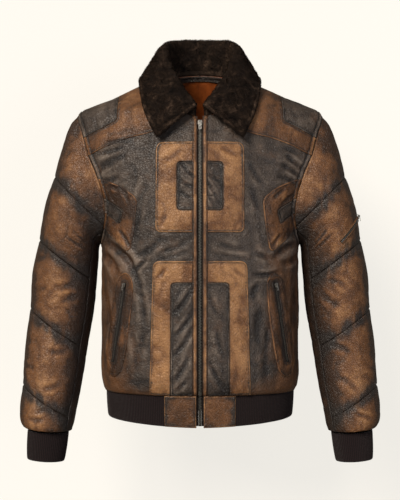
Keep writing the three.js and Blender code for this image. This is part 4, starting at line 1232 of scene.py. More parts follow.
def laid_marks(name, points, plain, edge, inner, hole):
    """Where a laid piece is darker and where it is paler: burnt edges, painted shade in its ditch and
    grooves, painted highlight on its turned edge, and rubbed streaks.
    """
    ragged = 1 + 0.5 * unevenness(points, 12, 57)
    # The turned edge is paler in patches, partly wear and partly painted highlight on its rounded lip.
    edge_wear_and_highlight = bell(edge - 0.9, 0.9) * smooth(-0.5, 0.5, unevenness(points, 18, 58))
    # Painted shade in the ditch inside the edge and in the groove beside a let-in piece, with burnt edges.
    darkening = 0.8 * bell(edge - 3.4, 1.0) + 0.42 * np.exp(-edge / (9 * ragged)) + 0.9 * bell(inner, 2.4)
    darkening = darkening * (1 - edge_wear_and_highlight)
    glow = 0.16 * unevenness(points, 48, 9) + 0.3 * edge_wear_and_highlight
    if name == "zip_border":
        x, z = plain[:, 0], plain[:, 2]
        beside = smooth(10.2, 11, x)
        dark = sum(smooth(top + 1, top - 1, z) * smooth(end - 1, end + 1, z) for top, end in DARK_BESIDE_ZIP)
        # Painted highlight on the two rolled folds beside the zip, darker elsewhere on the rolled edge.
        pale = np.maximum(bell(x - 6.8, 0.8), bell(x - 9.8, 0.7))
        darkening = (1 - beside) * 0.75 * (1 - pale) + beside * dark * 0.72
        glow = glow + 0.35 * pale
    if name in ("side_patch", "pocket_frame"):
        glow = glow - 0.14 + 0.14 * unevenness(points * [1, 1, 0.25], 7, 19)
    if name == "pocket_frame":
        darkening = 0.7 * darkening + 0.3 * smooth(-0.2, 0.8, unevenness(points * [1, 1, 0.2], 8, 29))
    if hole is not None:
        darkening = darkening + 0.8 * np.exp(-hole / 2.4)
    # Painted shadow of the collar, darker towards the middle of the yoke.
    if name == "yoke":
        darkening = darkening + 0.35 * smooth(100, 70, plain[:, 0])
    if name in ("chest_frame", "belly_arch"):
        glow = glow + 0.24
        darkening = darkening + 0.3 * smooth(-520, -600, plain[:, 2]) * smooth(-0.3, 0.6, unevenness(points, 14, 3))
    return darkening, glow


INSET_OF = {"chest_frame": "chest_inset", "belly_arch": "belly_inset", "side_patch": "side_flash"}


def laid_distances(name, plain, faces, slot):
    """How far each point is from the piece's edges, from a piece let into it, and from its slot."""
    x = plain[:, 0]
    borders = open_edge_points(plain, faces)
    if name == "zip_border":
        borders = borders[borders[:, 0] < 13]
    elif name.startswith(("chest", "belly")):
        borders = borders[borders[:, 0] > BAND_X + 0.3]
    inner = np.full(len(x), 99.0)
    if name in INSET_OF:
        inset = tree_of(body_point(*rounded(LAID_OUTLINES[INSET_OF[name]], 1.5).T, -1))
        inner = distance_to(inset, plain)
        borders = borders[distance_to(inset, borders) > 2]
    edge = distance_to(tree_of(borders), plain)
    hole = None
    if slot is not None:
        hole = distance_to(tree_of(body_point(*rounded(slot, 1.5).T, -1)), plain)
    return edge, inner, hole


def make_laid(name):
    outline, slot = LAID_OUTLINES[name], LAID_HOLES.get(name)
    flat, faces = flat_piece(outline, slot, 3.3)
    plain = body_turn(flat[:, 0] / SKIN_TURN, flat[:, 1], -1)
    outward = body_normal(plain)
    edge, inner, hole = laid_distances(name, plain, faces, slot)
    height = laid_height(name, plain[:, 0], edge, inner, hole)
    if name == "zip_border":
        plain = plain - np.outer(1.5 * bell(plain[:, 0] - FRONT_EDGE_X, 1.6), [1, 0, 0])
    finish = TAN if name in TAN_PIECES else DARK
    slot_name = "leather_tan" if name in TAN_PIECES else "leather_dark"
    if name == "pocket_zip":
        finish, slot_name = TAPE, "zip_tape"
    area = area_of(plain, faces)
    width, length = extents(plain)
    for hand, label in SIDES:
        points, normals = for_hand(plain, hand), for_hand(outward, hand)
        relief, fold = front_relief(points, hand)
        rise = relief + height + puckered(points, edge, 27, 8, 0.45) * smooth(0, 2, edge)
        top = points + normals * rise[:, None] + FRONT_GAP
        below = points + normals * (relief + 0.05)[:, None] + FRONT_GAP
        darkening, glow = laid_marks(name, points, plain, edge, inner, hole)
        # The armhole welt's painted shade and highlight.
        welt_shade, welt_highlight = welt_light_and_shade(distance_to(ARMHOLE_TREE, plain))
        darkening, glow = np.maximum(darkening * (welt_highlight < 0.1), welt_shade), glow + welt_highlight
        piece = wall(f"{name}_{label}_sewn", top, faces, normals, LAID, [finish, SUEDE],
                     {"burnish_and_shade": darkening, "glow": glow, "fold": fold}, inside=below)
        settle(piece, slot_name, f"{name}_{label}")
        declare_cut(width, length, area)
        SURFACES[hand].append((top, faces))


# ---------- Hem ----------
def hem_bottom(x):
    return mix(HEM_FRONT_Z, HEM_SIDE_Z, np.minimum(np.abs(x) / HEM_HALF_WIDTH, 1) ** 1.5)


def hem_cell(turn, share, side):
    """A point and its outward direction on the hem, by turn and share of its height."""
    middle = body_turn(turn, np.full(np.shape(turn), float(HEM_MIDDLE_Z)), side)
    z = mix(hem_bottom(middle[..., 0]), HEM_TOP_Z, share)
    normal = body_normal(middle)
    return body_turn(turn, z, side) - normal * HEM_INSET, normal


TAB_MIDDLE_EDGE_X = 6.5
TAB_SIDE_EDGE_X = 65.2
TAB_HEIGHT = 57


def make_hem_tabs():
    x = np.concatenate([[6.6, 7.6, 9], np.linspace(11, 61, 18), [63, 64.2, 65.1]])
    share = np.concatenate([[0, 0.02, 0.05], np.linspace(0.1, 0.9, 14), [0.95, 0.98, 1]])
    turn = turn_of(x, np.full(len(x), float(HEM_MIDDLE_Z)))
    turns, shares = np.broadcast_arrays(turn[None, :], share[:, None])
    plain, outward = hem_cell(turns, shares, -1)
    faces = grid_faces(*plain.shape[:2])
    across = plain[..., 0]
    from_side = TAB_SIDE_EDGE_X - across
    edge = np.minimum.reduce([across - TAB_MIDDLE_EDGE_X, from_side, shares * TAB_HEIGHT,
                              (1 - shares) * TAB_HEIGHT])
    for hand, label in SIDES:
        points, normals = for_hand(plain, hand), for_hand(outward, hand)
        rise = 0.9 + 1.5 * smooth(0, 2.4, edge) - 0.6 * bell(edge - 5.5, 1.3) + 0.7 * smooth(6, 18, edge)
        rise = rise + 0.8 * unevenness(points, 19, 71) * smooth(4, 14, edge)
        rise = rise + puckered(points, edge, 73, 6, 0.5) * smooth(0, 2, edge)
        fold = np.clip(unevenness(points, 9, 75) * np.exp(-edge / 9), -1, 1)
        ragged = 1 + 0.5 * unevenness(points, 12, 78)
        darkening = 1.1 * np.exp(-edge / (6 * ragged)) + 0.8 * np.exp(-from_side / (9 * ragged))
        # Painted highlight on the rounded lip of the turned edge.
        worn = bell(edge - 1.2, 0.9)
        darkening = darkening * (1 - 0.9 * worn)
        glow = 0.1 * unevenness(points, 30, 77) + 0.25 * worn
        top = points + normals * rise[..., None]
        piece = wall(f"hem_tab_{label}_leather", top, faces, normals, LEATHER, [TAN, SUEDE],
                     {"burnish_and_shade": darkening, "glow": glow, "fold": fold})
        settle(piece, "leather_tan", f"hem_tab_{label}")
        declare_grid_cut(plain, faces)
        SURFACES[hand].append((top, faces))


RIB_PITCH = 3.4  # a little wider than real, so that each rib shows
RIB_POINTS = 5
RIB_WALL = RIB - 0.8  # without the ridges, which stand out of it
RIB_RISE = 0.95
# How pale the tops of the ribs are, against the painted shade between them.
RIDGE_TONE = 0.8


def make_hem_rib():
    start = float(turn_of(TAB_X, HEM_MIDDLE_Z))
    past_side = QUARTER * 2 - np.linspace(QUARTER, 0, 500)[1:]
    fine = np.concatenate([np.linspace(start, QUARTER, 400), past_side])
    fine_turn = np.where(fine <= QUARTER, fine, QUARTER * 2 - fine)
    fine_side = np.where(fine <= QUARTER, -1, 1)
    path, _ = hem_cell(fine_turn, np.full(len(fine), 0.5), fine_side)
    run = np.concatenate([[0], np.cumsum(np.linalg.norm(np.diff(path, axis=0), axis=-1))])
    ribs = round(run[-1] / RIB_PITCH)
    places = np.linspace(0, run[-1], ribs * RIB_POINTS + 1)
    angle = np.interp(places, run, fine)
    turn = np.where(angle <= QUARTER, angle, QUARTER * 2 - angle)
    side = np.where(angle <= QUARTER, -1, 1)
    share = np.array([0, 0.03, 0.08, 0.2, 0.35, 0.5, 0.65, 0.8, 0.92, 1.0])
    turns, shares = np.broadcast_arrays(turn[None, :], share[:, None])
    left, out_left = hem_cell(turns, shares, np.broadcast_to(side, turns.shape))
    wave = 0.5 + 0.5 * np.cos(2 * math.pi * places / run[-1] * ribs)
    right, out_right = (a[:, :-1][:, ::-1] * [-1, 1, 1] for a in (left, out_left))
    plain = np.concatenate([left, right], 1)
    normals = np.concatenate([out_left, out_right], 1)
    waves = np.concatenate([wave, wave[:-1][::-1]])
    rounded_ends = np.array([0, 0.7, 1, 1, 1, 1, 1, 1, 0.9, 0.5])[:, None]
    ridge = waves[None, :] * rounded_ends
    bulge = 0.9 * np.sin(math.pi * share)[:, None] + 0.6 * unevenness(plain * [1, 1, 0.1], 26, 81)
    points = plain + normals * (ridge * RIB_RISE - 0.3 + bulge)[..., None]
    faces = grid_faces(*plain.shape[:2])
    marks = {"ridge": np.broadcast_to(waves * RIDGE_TONE, ridge.shape)}
    piece = wall("hem_rib_knit", points, faces, normals, RIB_WALL, [KNIT, KNIT], marks)
    settle(piece, "rib_knit", "hem_rib")
    declare_grid_cut(plain, faces)


# ---------- Sleeves ----------
def eased_shares(count):
    """Shares from 0 to 1, closer together at both ends."""
    t = np.linspace(0, 1, count)
    return t - 0.085 * np.sin(2 * math.pi * t)


def sleeve_grid(angles, top, bottom, count):
    """Points between two heights on each line along the sleeve, top first."""
    shares = eased_shares(count)
    heights = mix(top[None, :], bottom[None, :], shares[:, None])
    angle = np.broadcast_to(angles[None, :], heights.shape)
    plain = sleeve_point(angle, heights) + [SLEEVE_GAP, 0, 0]
    steps = np.linalg.norm(np.diff(plain, axis=0), axis=-1)
    run = np.concatenate([np.zeros((1, plain.shape[1])), np.cumsum(steps, axis=0)])
    return angle, heights, plain, sleeve_normal(angle, heights), run


SEAM_TURN = 0.0025  # half the gap between the top bands and the under sleeve, as an angle
COLUMN_STEP = math.radians(2.6)


def band_limits(k):
    """The angles of a band's columns, and the heights of its two seams there."""
    columns = len(np.arange(-TOP_SLEEVE_ANGLE, TOP_SLEEVE_ANGLE + COLUMN_STEP / 2, COLUMN_STEP))
    angles = np.linspace(-TOP_SLEEVE_ANGLE + SEAM_TURN, TOP_SLEEVE_ANGLE - SEAM_TURN, columns)
    end = seam_height(SLANT_SEAMS[0], angles)
    if k == 0:
        # The first seam runs out at the armhole, so its band is narrower than the others.
        reach = angles[end < SHOULDER_Z - 1.5]
        angles = np.linspace(reach[0], reach[-1], len(reach))
    top = np.full(len(angles), float(SHOULDER_Z))
    bottom = np.full(len(angles), float(SLEEVE_END_Z))
    if k > 0:
        top = seam_height(SLANT_SEAMS[k - 1], angles) - GAP / 2
    if k < len(SLANT_SEAMS):
        bottom = seam_height(SLANT_SEAMS[k], angles) + GAP / 2
    return angles, top, bottom


def sleeve_marks(points, angle, top_burn, end_burn, hole):
    """Dark burnt bands beside the seams, a painted highlight down the front of the arm, and painted shade
    along its outer line, towards the body and in the armhole seam.
    """
    around = np.abs(np.degrees(angle))
    wander = 1 + 0.35 * unevenness(points, 15, 91)
    streaks = 0.45 * unevenness(points * [1, 1, 0.16], 6.5, 93)
    darkening = (1.0 + streaks) * np.exp(-((top_burn / (18 * wander)) ** 2))
    darkening = np.maximum(darkening, (1.0 + streaks) * np.exp(-((end_burn / (17 * wander)) ** 2)))
    # Painted shade towards the body, in the armhole seam and beside it.
    darkening = darkening + 0.75 * smooth(112, 150, around) + 0.9 * bell(hole - 0.5, 1.6) + 0.3 * np.exp(-hole / 8)
    # Painted highlight down the front of the arm, painted shade along its outer line and towards the body.
    glow = 0.2 * bell(around - 76, 30) - 0.06 - 0.22 * smooth(46, 30, around) - 0.28 * smooth(98, 140, around)
    # Painted highlight on the armhole welt.
    glow = glow + 0.2 * bell(hole - 3.6, 1.4)
    return darkening, glow + 0.1 * unevenness(points, 45, 95)


def sleeve_relief(points, angle, height, hand, top_run, end_run, seamed_top):
    """Puckers beside the slanted seams, worn creases, and slow unevenness."""
    creases = [(a, z - 9 * (hand < 0), b, w + 7 * (hand < 0), deep, wide, bend * hand)
               for a, z, b, w, deep, wide, bend in SLEEVE_CREASES]
    lines = creased(np.degrees(angle) * 1.2, height, [(a * 1.2, z, b * 1.2, w, deep, wide, bend)
                                                     for a, z, b, w, deep, wide, bend in creases])
    swells, folds = crumpled(points, 101)
    near = np.minimum(top_run, end_run)
    calm = smooth(0, 16, near)
    gathers = np.exp(-near / 11) * unevenness(points * [1, 1, 0.3], 7, 103) * 1.15 * smooth(0, 2.5, near)
    ditch = -0.9 * bell(end_run, 2.2) - (0.9 if seamed_top else 0.2) * bell(top_run, 2.2)
    relief = calm * (0.7 * swells + folds + lines) + gathers + ditch
    # The fold mark paints shade in the troughs and highlight on the crests.
    return relief, np.clip(0.9 * folds + 0.7 * lines + 0.7 * gathers, -1, 1)


def make_band(k):
    angles, top, bottom = band_limits(k)
    count = (40, 42, 40, 42, 30)[k]
    angle, height, plain, outward, run = sleeve_grid(angles, top, bottom, count)
    faces = grid_faces(*plain.shape[:2])
    length = run[-1]
    share = run / np.maximum(length, 1)
    around = np.sin(math.pi * (angle + TOP_SLEEVE_ANGLE) / (2 * TOP_SLEEVE_ANGLE))
    puff = PUFF * np.sin(math.pi * np.clip(share, 0, 1)) ** 0.75 * np.clip(around, 0, 1) ** 0.5
    hole = distance_to(ARMHOLE_TREE, plain)
    far = np.full(run.shape, 99.0)
    for hand, label in SIDES:
        points, normals = for_hand(plain, hand), for_hand(outward, hand)
        relief, fold = sleeve_relief(points, angle, height, hand, run, length - run, k > 0)
        relief = relief + 0.9 * bell(hole - 3.5, 2.2) * (hole < 12)
        darkening, glow = sleeve_marks(points, angle, run if k else far, length - run if k < 4 else far, hole)
        moved = points + normals * (puff + relief)[..., None]
        piece = wall(f"sleeve_band_{k + 1}_{label}_leather", moved, faces, normals, LEATHER, [TAN, SUEDE],
                     {"burnish_and_shade": darkening, "glow": glow, "fold": fold})
        settle(piece, "leather_tan", f"sleeve_band_{k + 1}_{label}")
        declare_grid_cut(plain, faces)
        SURFACES[hand].append((moved, faces))


def make_under_sleeves():
    angles = np.linspace(TOP_SLEEVE_ANGLE + SEAM_TURN, 2 * math.pi - TOP_SLEEVE_ANGLE - SEAM_TURN, 28)
    top = np.full(28, float(SHOULDER_Z))
    bottom = np.full(28, float(SLEEVE_END_Z))
    angle, _, plain, outward, run = sleeve_grid(angles, top, bottom, 120)
    faces = grid_faces(*plain.shape[:2])
    hole = distance_to(ARMHOLE_TREE, plain)
    for hand, label in SIDES:
        points, normals = for_hand(plain, hand), for_hand(outward, hand)
        swells, folds = crumpled(points, 111)
        inset = np.minimum(run, run[-1] - run)
        relief = smooth(0, 14, inset) * (0.35 * swells + folds)
        seam = np.minimum(angle - angles[0], angles[-1] - angle) * 66
        relief = relief * smooth(0, 12, seam) - 0.4 * bell(seam, 2)
        # Painted shade over the whole under sleeve, which faces the body, and more towards the armhole;
        # darker along its seams. The fold mark paints shade in the troughs of its folds.
        darkening = 0.55 + 0.3 * np.exp(-seam / 8) + 0.3 * np.exp(-hole / 6)
        moved = points + normals * relief[..., None]
        marks = {"burnish_and_shade": darkening, "glow": np.full(darkening.size, -0.2), "fold": folds}
        piece = wall(f"under_sleeve_{label}_leather", moved, faces, normals, LEATHER, [TAN, SUEDE], marks)
        settle(piece, "leather_tan", f"under_sleeve_{label}")
        declare_grid_cut(plain, faces)


CUFF_ROUND = 2 * math.pi * 36.5  # round the cuff at its middle
CUFF_HEIGHT = -CUFF_LEAN[2]


def make_cuffs():
    ends = sleeve_ellipse(np.array([0, math.pi]), np.full(2, float(SLEEVE_END_Z)))
    top = ends.mean(0)
    ribs = round(CUFF_ROUND / RIB_PITCH)
    angle = np.arange(ribs * RIB_POINTS) / (ribs * RIB_POINTS) * 2 * math.pi
    share = np.array([0, 0.03, 0.1, 0.22, 0.36, 0.5, 0.64, 0.78, 0.9, 0.97, 1.0])
    angles, shares = np.broadcast_arrays(angle[None, :], share[:, None])
    outward = np.stack([np.cos(angles), -np.sin(angles), np.zeros(angles.shape)], -1)
    radius = mix(CUFF_TOP_RADIUS, CUFF_END_RADIUS, shares**0.7)
    plain = top + outward * radius[..., None] + shares[..., None] * np.array(CUFF_LEAN, float)
    plain[..., 2] -= 2.2 + 4.5 * 0.5 * (1 - np.cos(angles))
    wave = 0.5 + 0.5 * np.cos(ribs * angles)
    ends = np.array([0.5, 0.8, 1, 1, 1, 1, 1, 1, 1, 0.7, 0.1])[:, None]
    faces = grid_faces(*plain.shape[:2], closed=True)
    for hand, label in SIDES:
        points, normals = for_hand(plain, hand), for_hand(outward, hand)
        bulge = 1.1 * np.sin(math.pi * shares) + 0.8 * unevenness(points * [1, 1, 0.25], 22, 83)
        moved = points + normals * (wave * ends * RIB_RISE - 0.3 + bulge)[..., None]
        piece = wall(f"cuff_{label}_knit", moved, faces, normals, RIB_WALL, [KNIT, KNIT],
                     {"ridge": wave * RIDGE_TONE})
        settle(piece, "rib_knit", f"cuff_{label}")
        declare_cut(CUFF_ROUND, CUFF_HEIGHT, area_of(plain, faces))


# ---------- Collar ----------
def smooth_line(points, t):
    """A centripetal curve through the points, at shares t from its first to its last."""
    points = np.array(points, float)
    padded = np.concatenate([[2 * points[0] - points[1]], points, [2 * points[-1] - points[-2]]])
    last = len(points) - 1
    i = np.minimum(np.floor(t * last).astype(int), last - 1)
    s = (t * last - i)[:, None]
    p0, p1, p2, p3 = (padded[i + k] for k in range(4))
    pairs = ((p0, p1), (p1, p2), (p2, p3))
    d0, d1, d2 = (np.linalg.norm(b - a, axis=-1, keepdims=True) ** 0.5 for a, b in pairs)
    t1 = ((p1 - p0) / d0 - (p2 - p0) / (d0 + d1) + (p2 - p1) / d1) * d1
    t2 = ((p2 - p1) / d1 - (p3 - p1) / (d1 + d2) + (p3 - p2) / d2) * d1
    return p1 + t1 * s + (3 * (p2 - p1) - 2 * t1 - t2) * s**2 + (2 * (p1 - p2) + t1 + t2) * s**3


def collar_profile(t, stand_steps, fall_steps):
    """Rows of points from the neck seam over the roll to the outer edge, for each share t."""
    angle = math.pi * (1 - t) + math.asin(7.5 / NECK_HALF_WIDTH) * t
    x, z = neck_seam(angle)
    seam = body_point(np.maximum(x, 0), z, np.where(angle > QUARTER, 1, -1))
    roll = smooth_line(COLLAR_ROLL, t)
    edge = smooth_line(COLLAR_EDGE, t)
    out = unit(roll * [1, 1.1, 0])
    seam = seam + [0, 0, 0.5] - out * 0.5
    up, down = roll - seam, edge - roll

    def curve(a, ta, b, tb, s):
        s = s[:, None, None]
        return ((2 * s**3 - 3 * s**2 + 1) * a + (s**3 - 2 * s**2 + s) * ta
                + (3 * s**2 - 2 * s**3) * b + (s**3 - s**2) * tb)

    stand = curve(seam, up * 1.3, roll, out * 26, np.linspace(0, 1, stand_steps))
    fall = curve(roll, out * 26 * 1.6, edge, down * 1.25, np.linspace(0, 1, fall_steps))
    return np.concatenate([stand, fall[1:]])


def grid_normals(grid):
    along = np.gradient(grid, axis=1)
    up = np.gradient(grid, axis=0)
    return unit(np.cross(along, up))


def make_collar():
    t = np.linspace(-1, 1, 191)
    middle = collar_profile(np.abs(t), 22, 36) * np.stack([np.where(t < 0, -1, 1), t * 0 + 1, t * 0 + 1], -1)
    normals = grid_normals(middle)
    steps_up = np.linalg.norm(np.diff(middle, axis=0), axis=-1)
    from_seam = np.concatenate([np.zeros((1, len(t))), np.cumsum(steps_up, axis=0)])
    to_edge = from_seam[-1] - from_seam
    steps_across = np.linalg.norm(np.diff(middle, axis=1), axis=-1)
    from_left = np.concatenate([np.zeros((len(middle), 1)), np.cumsum(steps_across, axis=1)], 1)
    to_end = np.minimum(from_left, from_left[:, -1:] - from_left)
    nearest = np.minimum(to_edge, to_end)
    rounded_edge = np.sqrt(np.clip(1 - (1 - np.minimum(nearest / 5.5, 1)) ** 2, 0.02, 1))
    half = mix(1.2, FUR_HALF - 0.7, smooth(0, 22, from_seam)) * rounded_edge
    lumps = 1.1 * unevenness(middle, 21, 121) + 0.8 * unevenness(middle, 9, 123)
    lumps = (lumps + 0.35 * unevenness(middle, 4.5, 125)) * smooth(0, 8, nearest)
    groove = -1.5 * bell(nearest - 9, 1.7) * smooth(10, 30, from_seam)
    relief = lumps + groove + collar_pinches(middle)
    # The outside of the grid is the face that shows on the fall.
    face = middle + normals * (half + relief)[..., None]
    under = middle - normals * (half + 0.5 * lumps)[..., None]
    faces = grid_faces(*middle.shape[:2])
    # Painted highlight along the crest of the rolled edge, and in patches.
    worn = bell(nearest - 5, 2.2) + 0.5 * smooth(0, 0.9, unevenness(middle, 14, 127))
    piece = wall("collar_hide", face, faces, normals, 1, [WOOL, WOOL], {"tip": worn}, inside=under)
    settle(piece, "shearling", "collar")
    declare_grid_cut(middle, faces)
    flow = unit(np.gradient(middle, axis=0))
    make_pile("collar_pile_face", face, normals, flow, 62000, 5, from_seam)
    make_pile("collar_pile_under", under, -normals, flow, 24000, 6, from_seam)


def collar_pinches(middle):
    """Short folds where the stand turns over at each side of the neck."""
    x, y, z = np.moveaxis(middle, -1, 0)
    side = np.abs(x)
    folds = -1.6 * bell(side - 56 - 0.35 * (z - 60), 2.6) * smooth(40, 56, z) * smooth(60, 20, y)
    folds += -1.2 * bell(side - 66 - 0.2 * (z - 50), 2.4) * smooth(34, 50, z) * smooth(50, 10, y)
    return folds


def make_pile(name, surface, normals, flow, count, seed, from_seam):
    """Sheared wool as joined blades, rooted all over a face and leaning along the hide."""
    rng = np.random.default_rng(seed)
    columns = surface.shape[1]
    corner = surface[:-1, :-1]
    cell_area = np.linalg.norm(np.cross(surface[1:, :-1] - corner, surface[:-1, 1:] - corner), axis=-1)
    cell_area = cell_area * (from_seam[:-1, :-1] > 6)
    chance = cell_area.ravel() / cell_area.sum()
    cell = rng.choice(len(chance), size=count, p=chance)
    j, i = cell // (columns - 1), cell % (columns - 1)
    u, v = rng.random((2, count, 1))

    def at(grid):
        top = mix(grid[j, i], grid[j, i + 1], u)
        return mix(top, mix(grid[j + 1, i], grid[j + 1, i + 1], u), v)

    root, out, down = at(surface), unit(at(normals)), unit(at(flow))
    lock = unevenness(root, 11, seed + 200)[:, None]
    turn = unevenness(root, 24, seed + 210)[:, None]
    across = np.cross(out, down)
    lean = down * 0.55 + across * (0.5 * turn + 0.3 * rng.normal(size=(count, 1)))
    lean = lean + down * 0.25 * rng.normal(size=(count, 1))
    length = 2.5 + 0.7 * lock + 0.5 * rng.random((count, 1))
    tip = root + unit(out + lean) * length
    beside = unit(np.cross(unit(out + lean), rng.normal(size=(count, 3)))) * 0.42
    base = root - out * 0.4
    points = np.stack([base - beside, base + beside, tip], 1).reshape(-1, 3)
    faces = np.arange(3 * count).reshape(-1, 3)
    marks = {"tip": np.tile([0.0, 0.0, 1.0], count)}
    piece = make_object(name, points, faces.tolist(), [WOOL], None, marks)
    soft = unit(out + 0.25 * rng.normal(size=(count, 3)))
    piece.data.normals_split_custom_set_from_vertices(np.repeat(soft, 3, axis=0).tolist())
    settle(piece, "shearling")


# ---------- Inside of the neck ----------
def make_lining():
    """The quilted lining that shows below the back of the neck."""
    plain, outward = body_cells(1, 0, 60, 2, 92)
    from_row = 2 + round(0.4 * 91)
    columns = round(plain.shape[1] * 5 / 6)
    plain, outward = plain[from_row:, :columns], outward[from_row:, :columns]
    points, normals, faces = whole_back(plain, outward)
    x, z = points[:, 0], points[:, 2]
    # Diamonds 26 mm across, sewn through.
    quilt = 26
    lines = np.minimum(*(np.abs((d / quilt) % 1 - 0.5) for d in (x + z, x - z + 9)))
    sewn = bell(lines, 0.07)
    band = bell(z + 14 + 0.004 * x * x, 1.6)
    outer = points - normals * (LEATHER + GAP)
    relief = 1.3 * (1 - sewn) + 0.5 * unevenness(points, 8, 131) - 1.1 * band
    inner = points - normals * (LEATHER + GAP + 0.3 + relief * 0.8)[:, None]
    piece = wall("lining_back_satin", outer, faces, normals, LINING, [SATIN, SATIN], None, inside=inner)
    settle(piece, "lining", "lining_back")
    width, length = arc_lengths(plain)
    declare_cut(2 * width, length, area_of(points, faces))


def make_neck_binding():
    """The leather strip sewn over the collar seam, inside the back of the neck."""
    angle = np.linspace(0.66 * math.pi, 1.34 * math.pi, 90)
    x, z = neck_seam(angle)
    share = np.array([0, 0.06, 0.14, 0.3, 0.5, 0.7, 0.86, 0.94, 1])
    across, height = np.broadcast_arrays(x[None, :], z[None, :] - 10 * share[:, None])
    plain = body_point(across, height, 1)
    outward = body_normal(plain)
    depth = LEATHER + LINING + 2 * GAP
    rolled = 1.1 * (bell(share - 0.12, 0.12) + bell(share - 0.88, 0.12))[:, None]
    top = plain - outward * depth
    inside = plain - outward * (depth + 0.8 + rolled)[..., None]
    faces = grid_faces(*plain.shape[:2])
    # Painted highlight along both rolled edges, darker between them.
    glow = np.broadcast_to((0.35 * rolled - 0.35), across.shape).ravel()
    piece = wall("neck_binding_leather", top, faces, outward, 1.4, [DARK, DARK],
                 {"burnish_and_shade": glow * 0, "glow": glow, "fold": glow * 0}, inside=inside)
    settle(piece, "leather_dark", "neck_binding")
    declare_grid_cut(plain, faces)


# ---------- Zips ----------
def zip_cell(x, z):
    """A point and its outward direction on the front edge, on through the hem."""
    x, z = np.broadcast_arrays(np.asarray(x, float), np.asarray(z, float))
    upper = body_point(x, z, -1)
    share = (z - HEM_FRONT_Z) / (HEM_TOP_Z - HEM_FRONT_Z)
    lower, lower_out = hem_cell(turn_of(x, np.full(z.shape, float(HEM_MIDDLE_Z))), share, -1)
    lower[..., 0] = x
    below = (z < LEATHER_BOTTOM_Z)[..., None]
    upper_out = body_normal(upper)
    return np.where(below, lower, upper + FRONT_GAP), np.where(below, lower_out, upper_out)


def strip(name, low_x, high_x, surface_depth, thick, *nodes):
    """A flat strip beside or under the teeth, from the collar to the hem."""
    heights = np.linspace(ZIP_END_Z, ZIP_TOP_Z, 190)
    x, z = np.broadcast_arrays(np.linspace(low_x, high_x, 5)[None, :], heights[:, None])
    plain, outward = zip_cell(x, z)
    top = plain - outward * surface_depth
    faces = grid_faces(*plain.shape[:2])
    piece = wall(name, top, faces, outward, thick, [TAPE, TAPE])
    settle(piece, "zip_tape", *nodes)
    declare_grid_cut(plain, faces)


def blocks(centres, across, along, out, size):
    """Joined teeth: each a bar with its top edges chamfered. Size is across, along and height."""
    wide, long, tall = size
    profile = [(-0.5, 0), (0.5, 0), (0.5, 0.6), (0.22, 1), (-0.22, 1), (-0.5, 0.6)]
    count = len(centres)
    corners = []
    for end in (-0.5, 0.5):
        for a, h in profile:
            corners.append(centres + across * (wide * end) + along * (long * a) + out * (tall * h))
    points = flat_rows(np.stack(corners, 1))
    face = [[0, 1, 2, 3, 4, 5], [11, 10, 9, 8, 7, 6]]
    face += [[k, k + 6, (k + 1) % 6 + 6, (k + 1) % 6] for k in range(6)]
    faces = [[n * 12 + v for v in f] for n in range(count) for f in face]
    return points, faces


def make_teeth(name, centres, out, pitch_size, nodes, spread):
    """Two rows of teeth that mesh along a line of centres."""
    along = unit(np.gradient(centres, axis=0))
    across = unit(np.cross(along, out))
    side = np.where(np.arange(len(centres)) % 2, 1, -1)[:, None]
    points, faces = blocks(centres + across * side * spread, across, along, out, pitch_size)
    piece = make_object(name, points, faces, [TEETH])
    piece.data.polygons.foreach_set("use_smooth", [False] * len(piece.data.polygons))
    settle(piece, "zip_metal", *nodes)


def make_main_zip():
    heights = np.arange(ZIP_END_Z + 3, ZIP_TOP_Z - 4, 1.35)
    centres, out = zip_cell(0.0, heights)
    make_teeth("main_zip_teeth", centres - out * 1.0, out, (3.3, 1.05, 2.0), ["zip_chain"], 1.1)
    strip("main_zip_cord", -2.6, 2.6, 1.9, 0.8)
    strip("zip_tape_left_woven", 2.8, 15, LEATHER + GAP + 0.5, 0.9, "zip_tape_left")
    strip("zip_tape_right_woven", -15, -2.8, LEATHER + GAP + 0.5, 0.9, "zip_tape_right")


def make_pocket_teeth():
    count = 74
    share = np.linspace(0.02, 0.985, count)
    x = mix(POCKET_TOP[0], POCKET_BOTTOM[0], share)
    z = mix(POCKET_TOP[1], POCKET_BOTTOM[1], share)
    plain = body_point(x, z, -1)
    outward = body_normal(plain)
    for hand, label in SIDES:
        points, out = for_hand(plain, hand), for_hand(outward, hand)
        relief, _ = front_relief(points, hand)
        centres = points + out * (relief + 0.4)[:, None]
        make_teeth(f"pocket_teeth_{label}", centres, out, (2.5, 1.3, 1.3), [], 0.8)


# ---------- What is sewn through the made leather ----------
def skin_tree(hand):
    points, faces, start = [], [], 0
    for moved, own in SURFACES[hand]:
        points.append(flat_rows(moved))
        faces.extend((own + start).tolist())
        start += len(points[-1])
    return BVHTree.FromPolygons(np.concatenate(points).tolist(), faces)


def dropped(tree, x, z):
    """Where lines from the front meet the made leather, and its outward direction there."""
    places, outs = [], []
    for a, c in zip(x, z):
        place, out, _, _ = tree.ray_cast((a, -320, c), (0, 1, 0))
        if place is not None:
            places.append(place)
            outs.append(out if out[1] < 0 else -out)
    return np.array(places), np.array(outs)


def even_line(path, pitch):
    """Points at an even pitch along an open line of x and z."""
    path = np.array(path, float)
    run = np.concatenate([[0], np.cumsum(np.linalg.norm(np.diff(path, axis=0), axis=-1))])
    places = np.arange(0, run[-1], pitch)
    return np.interp(places, run, path[:, 0]), np.interp(places, run, path[:, 1])


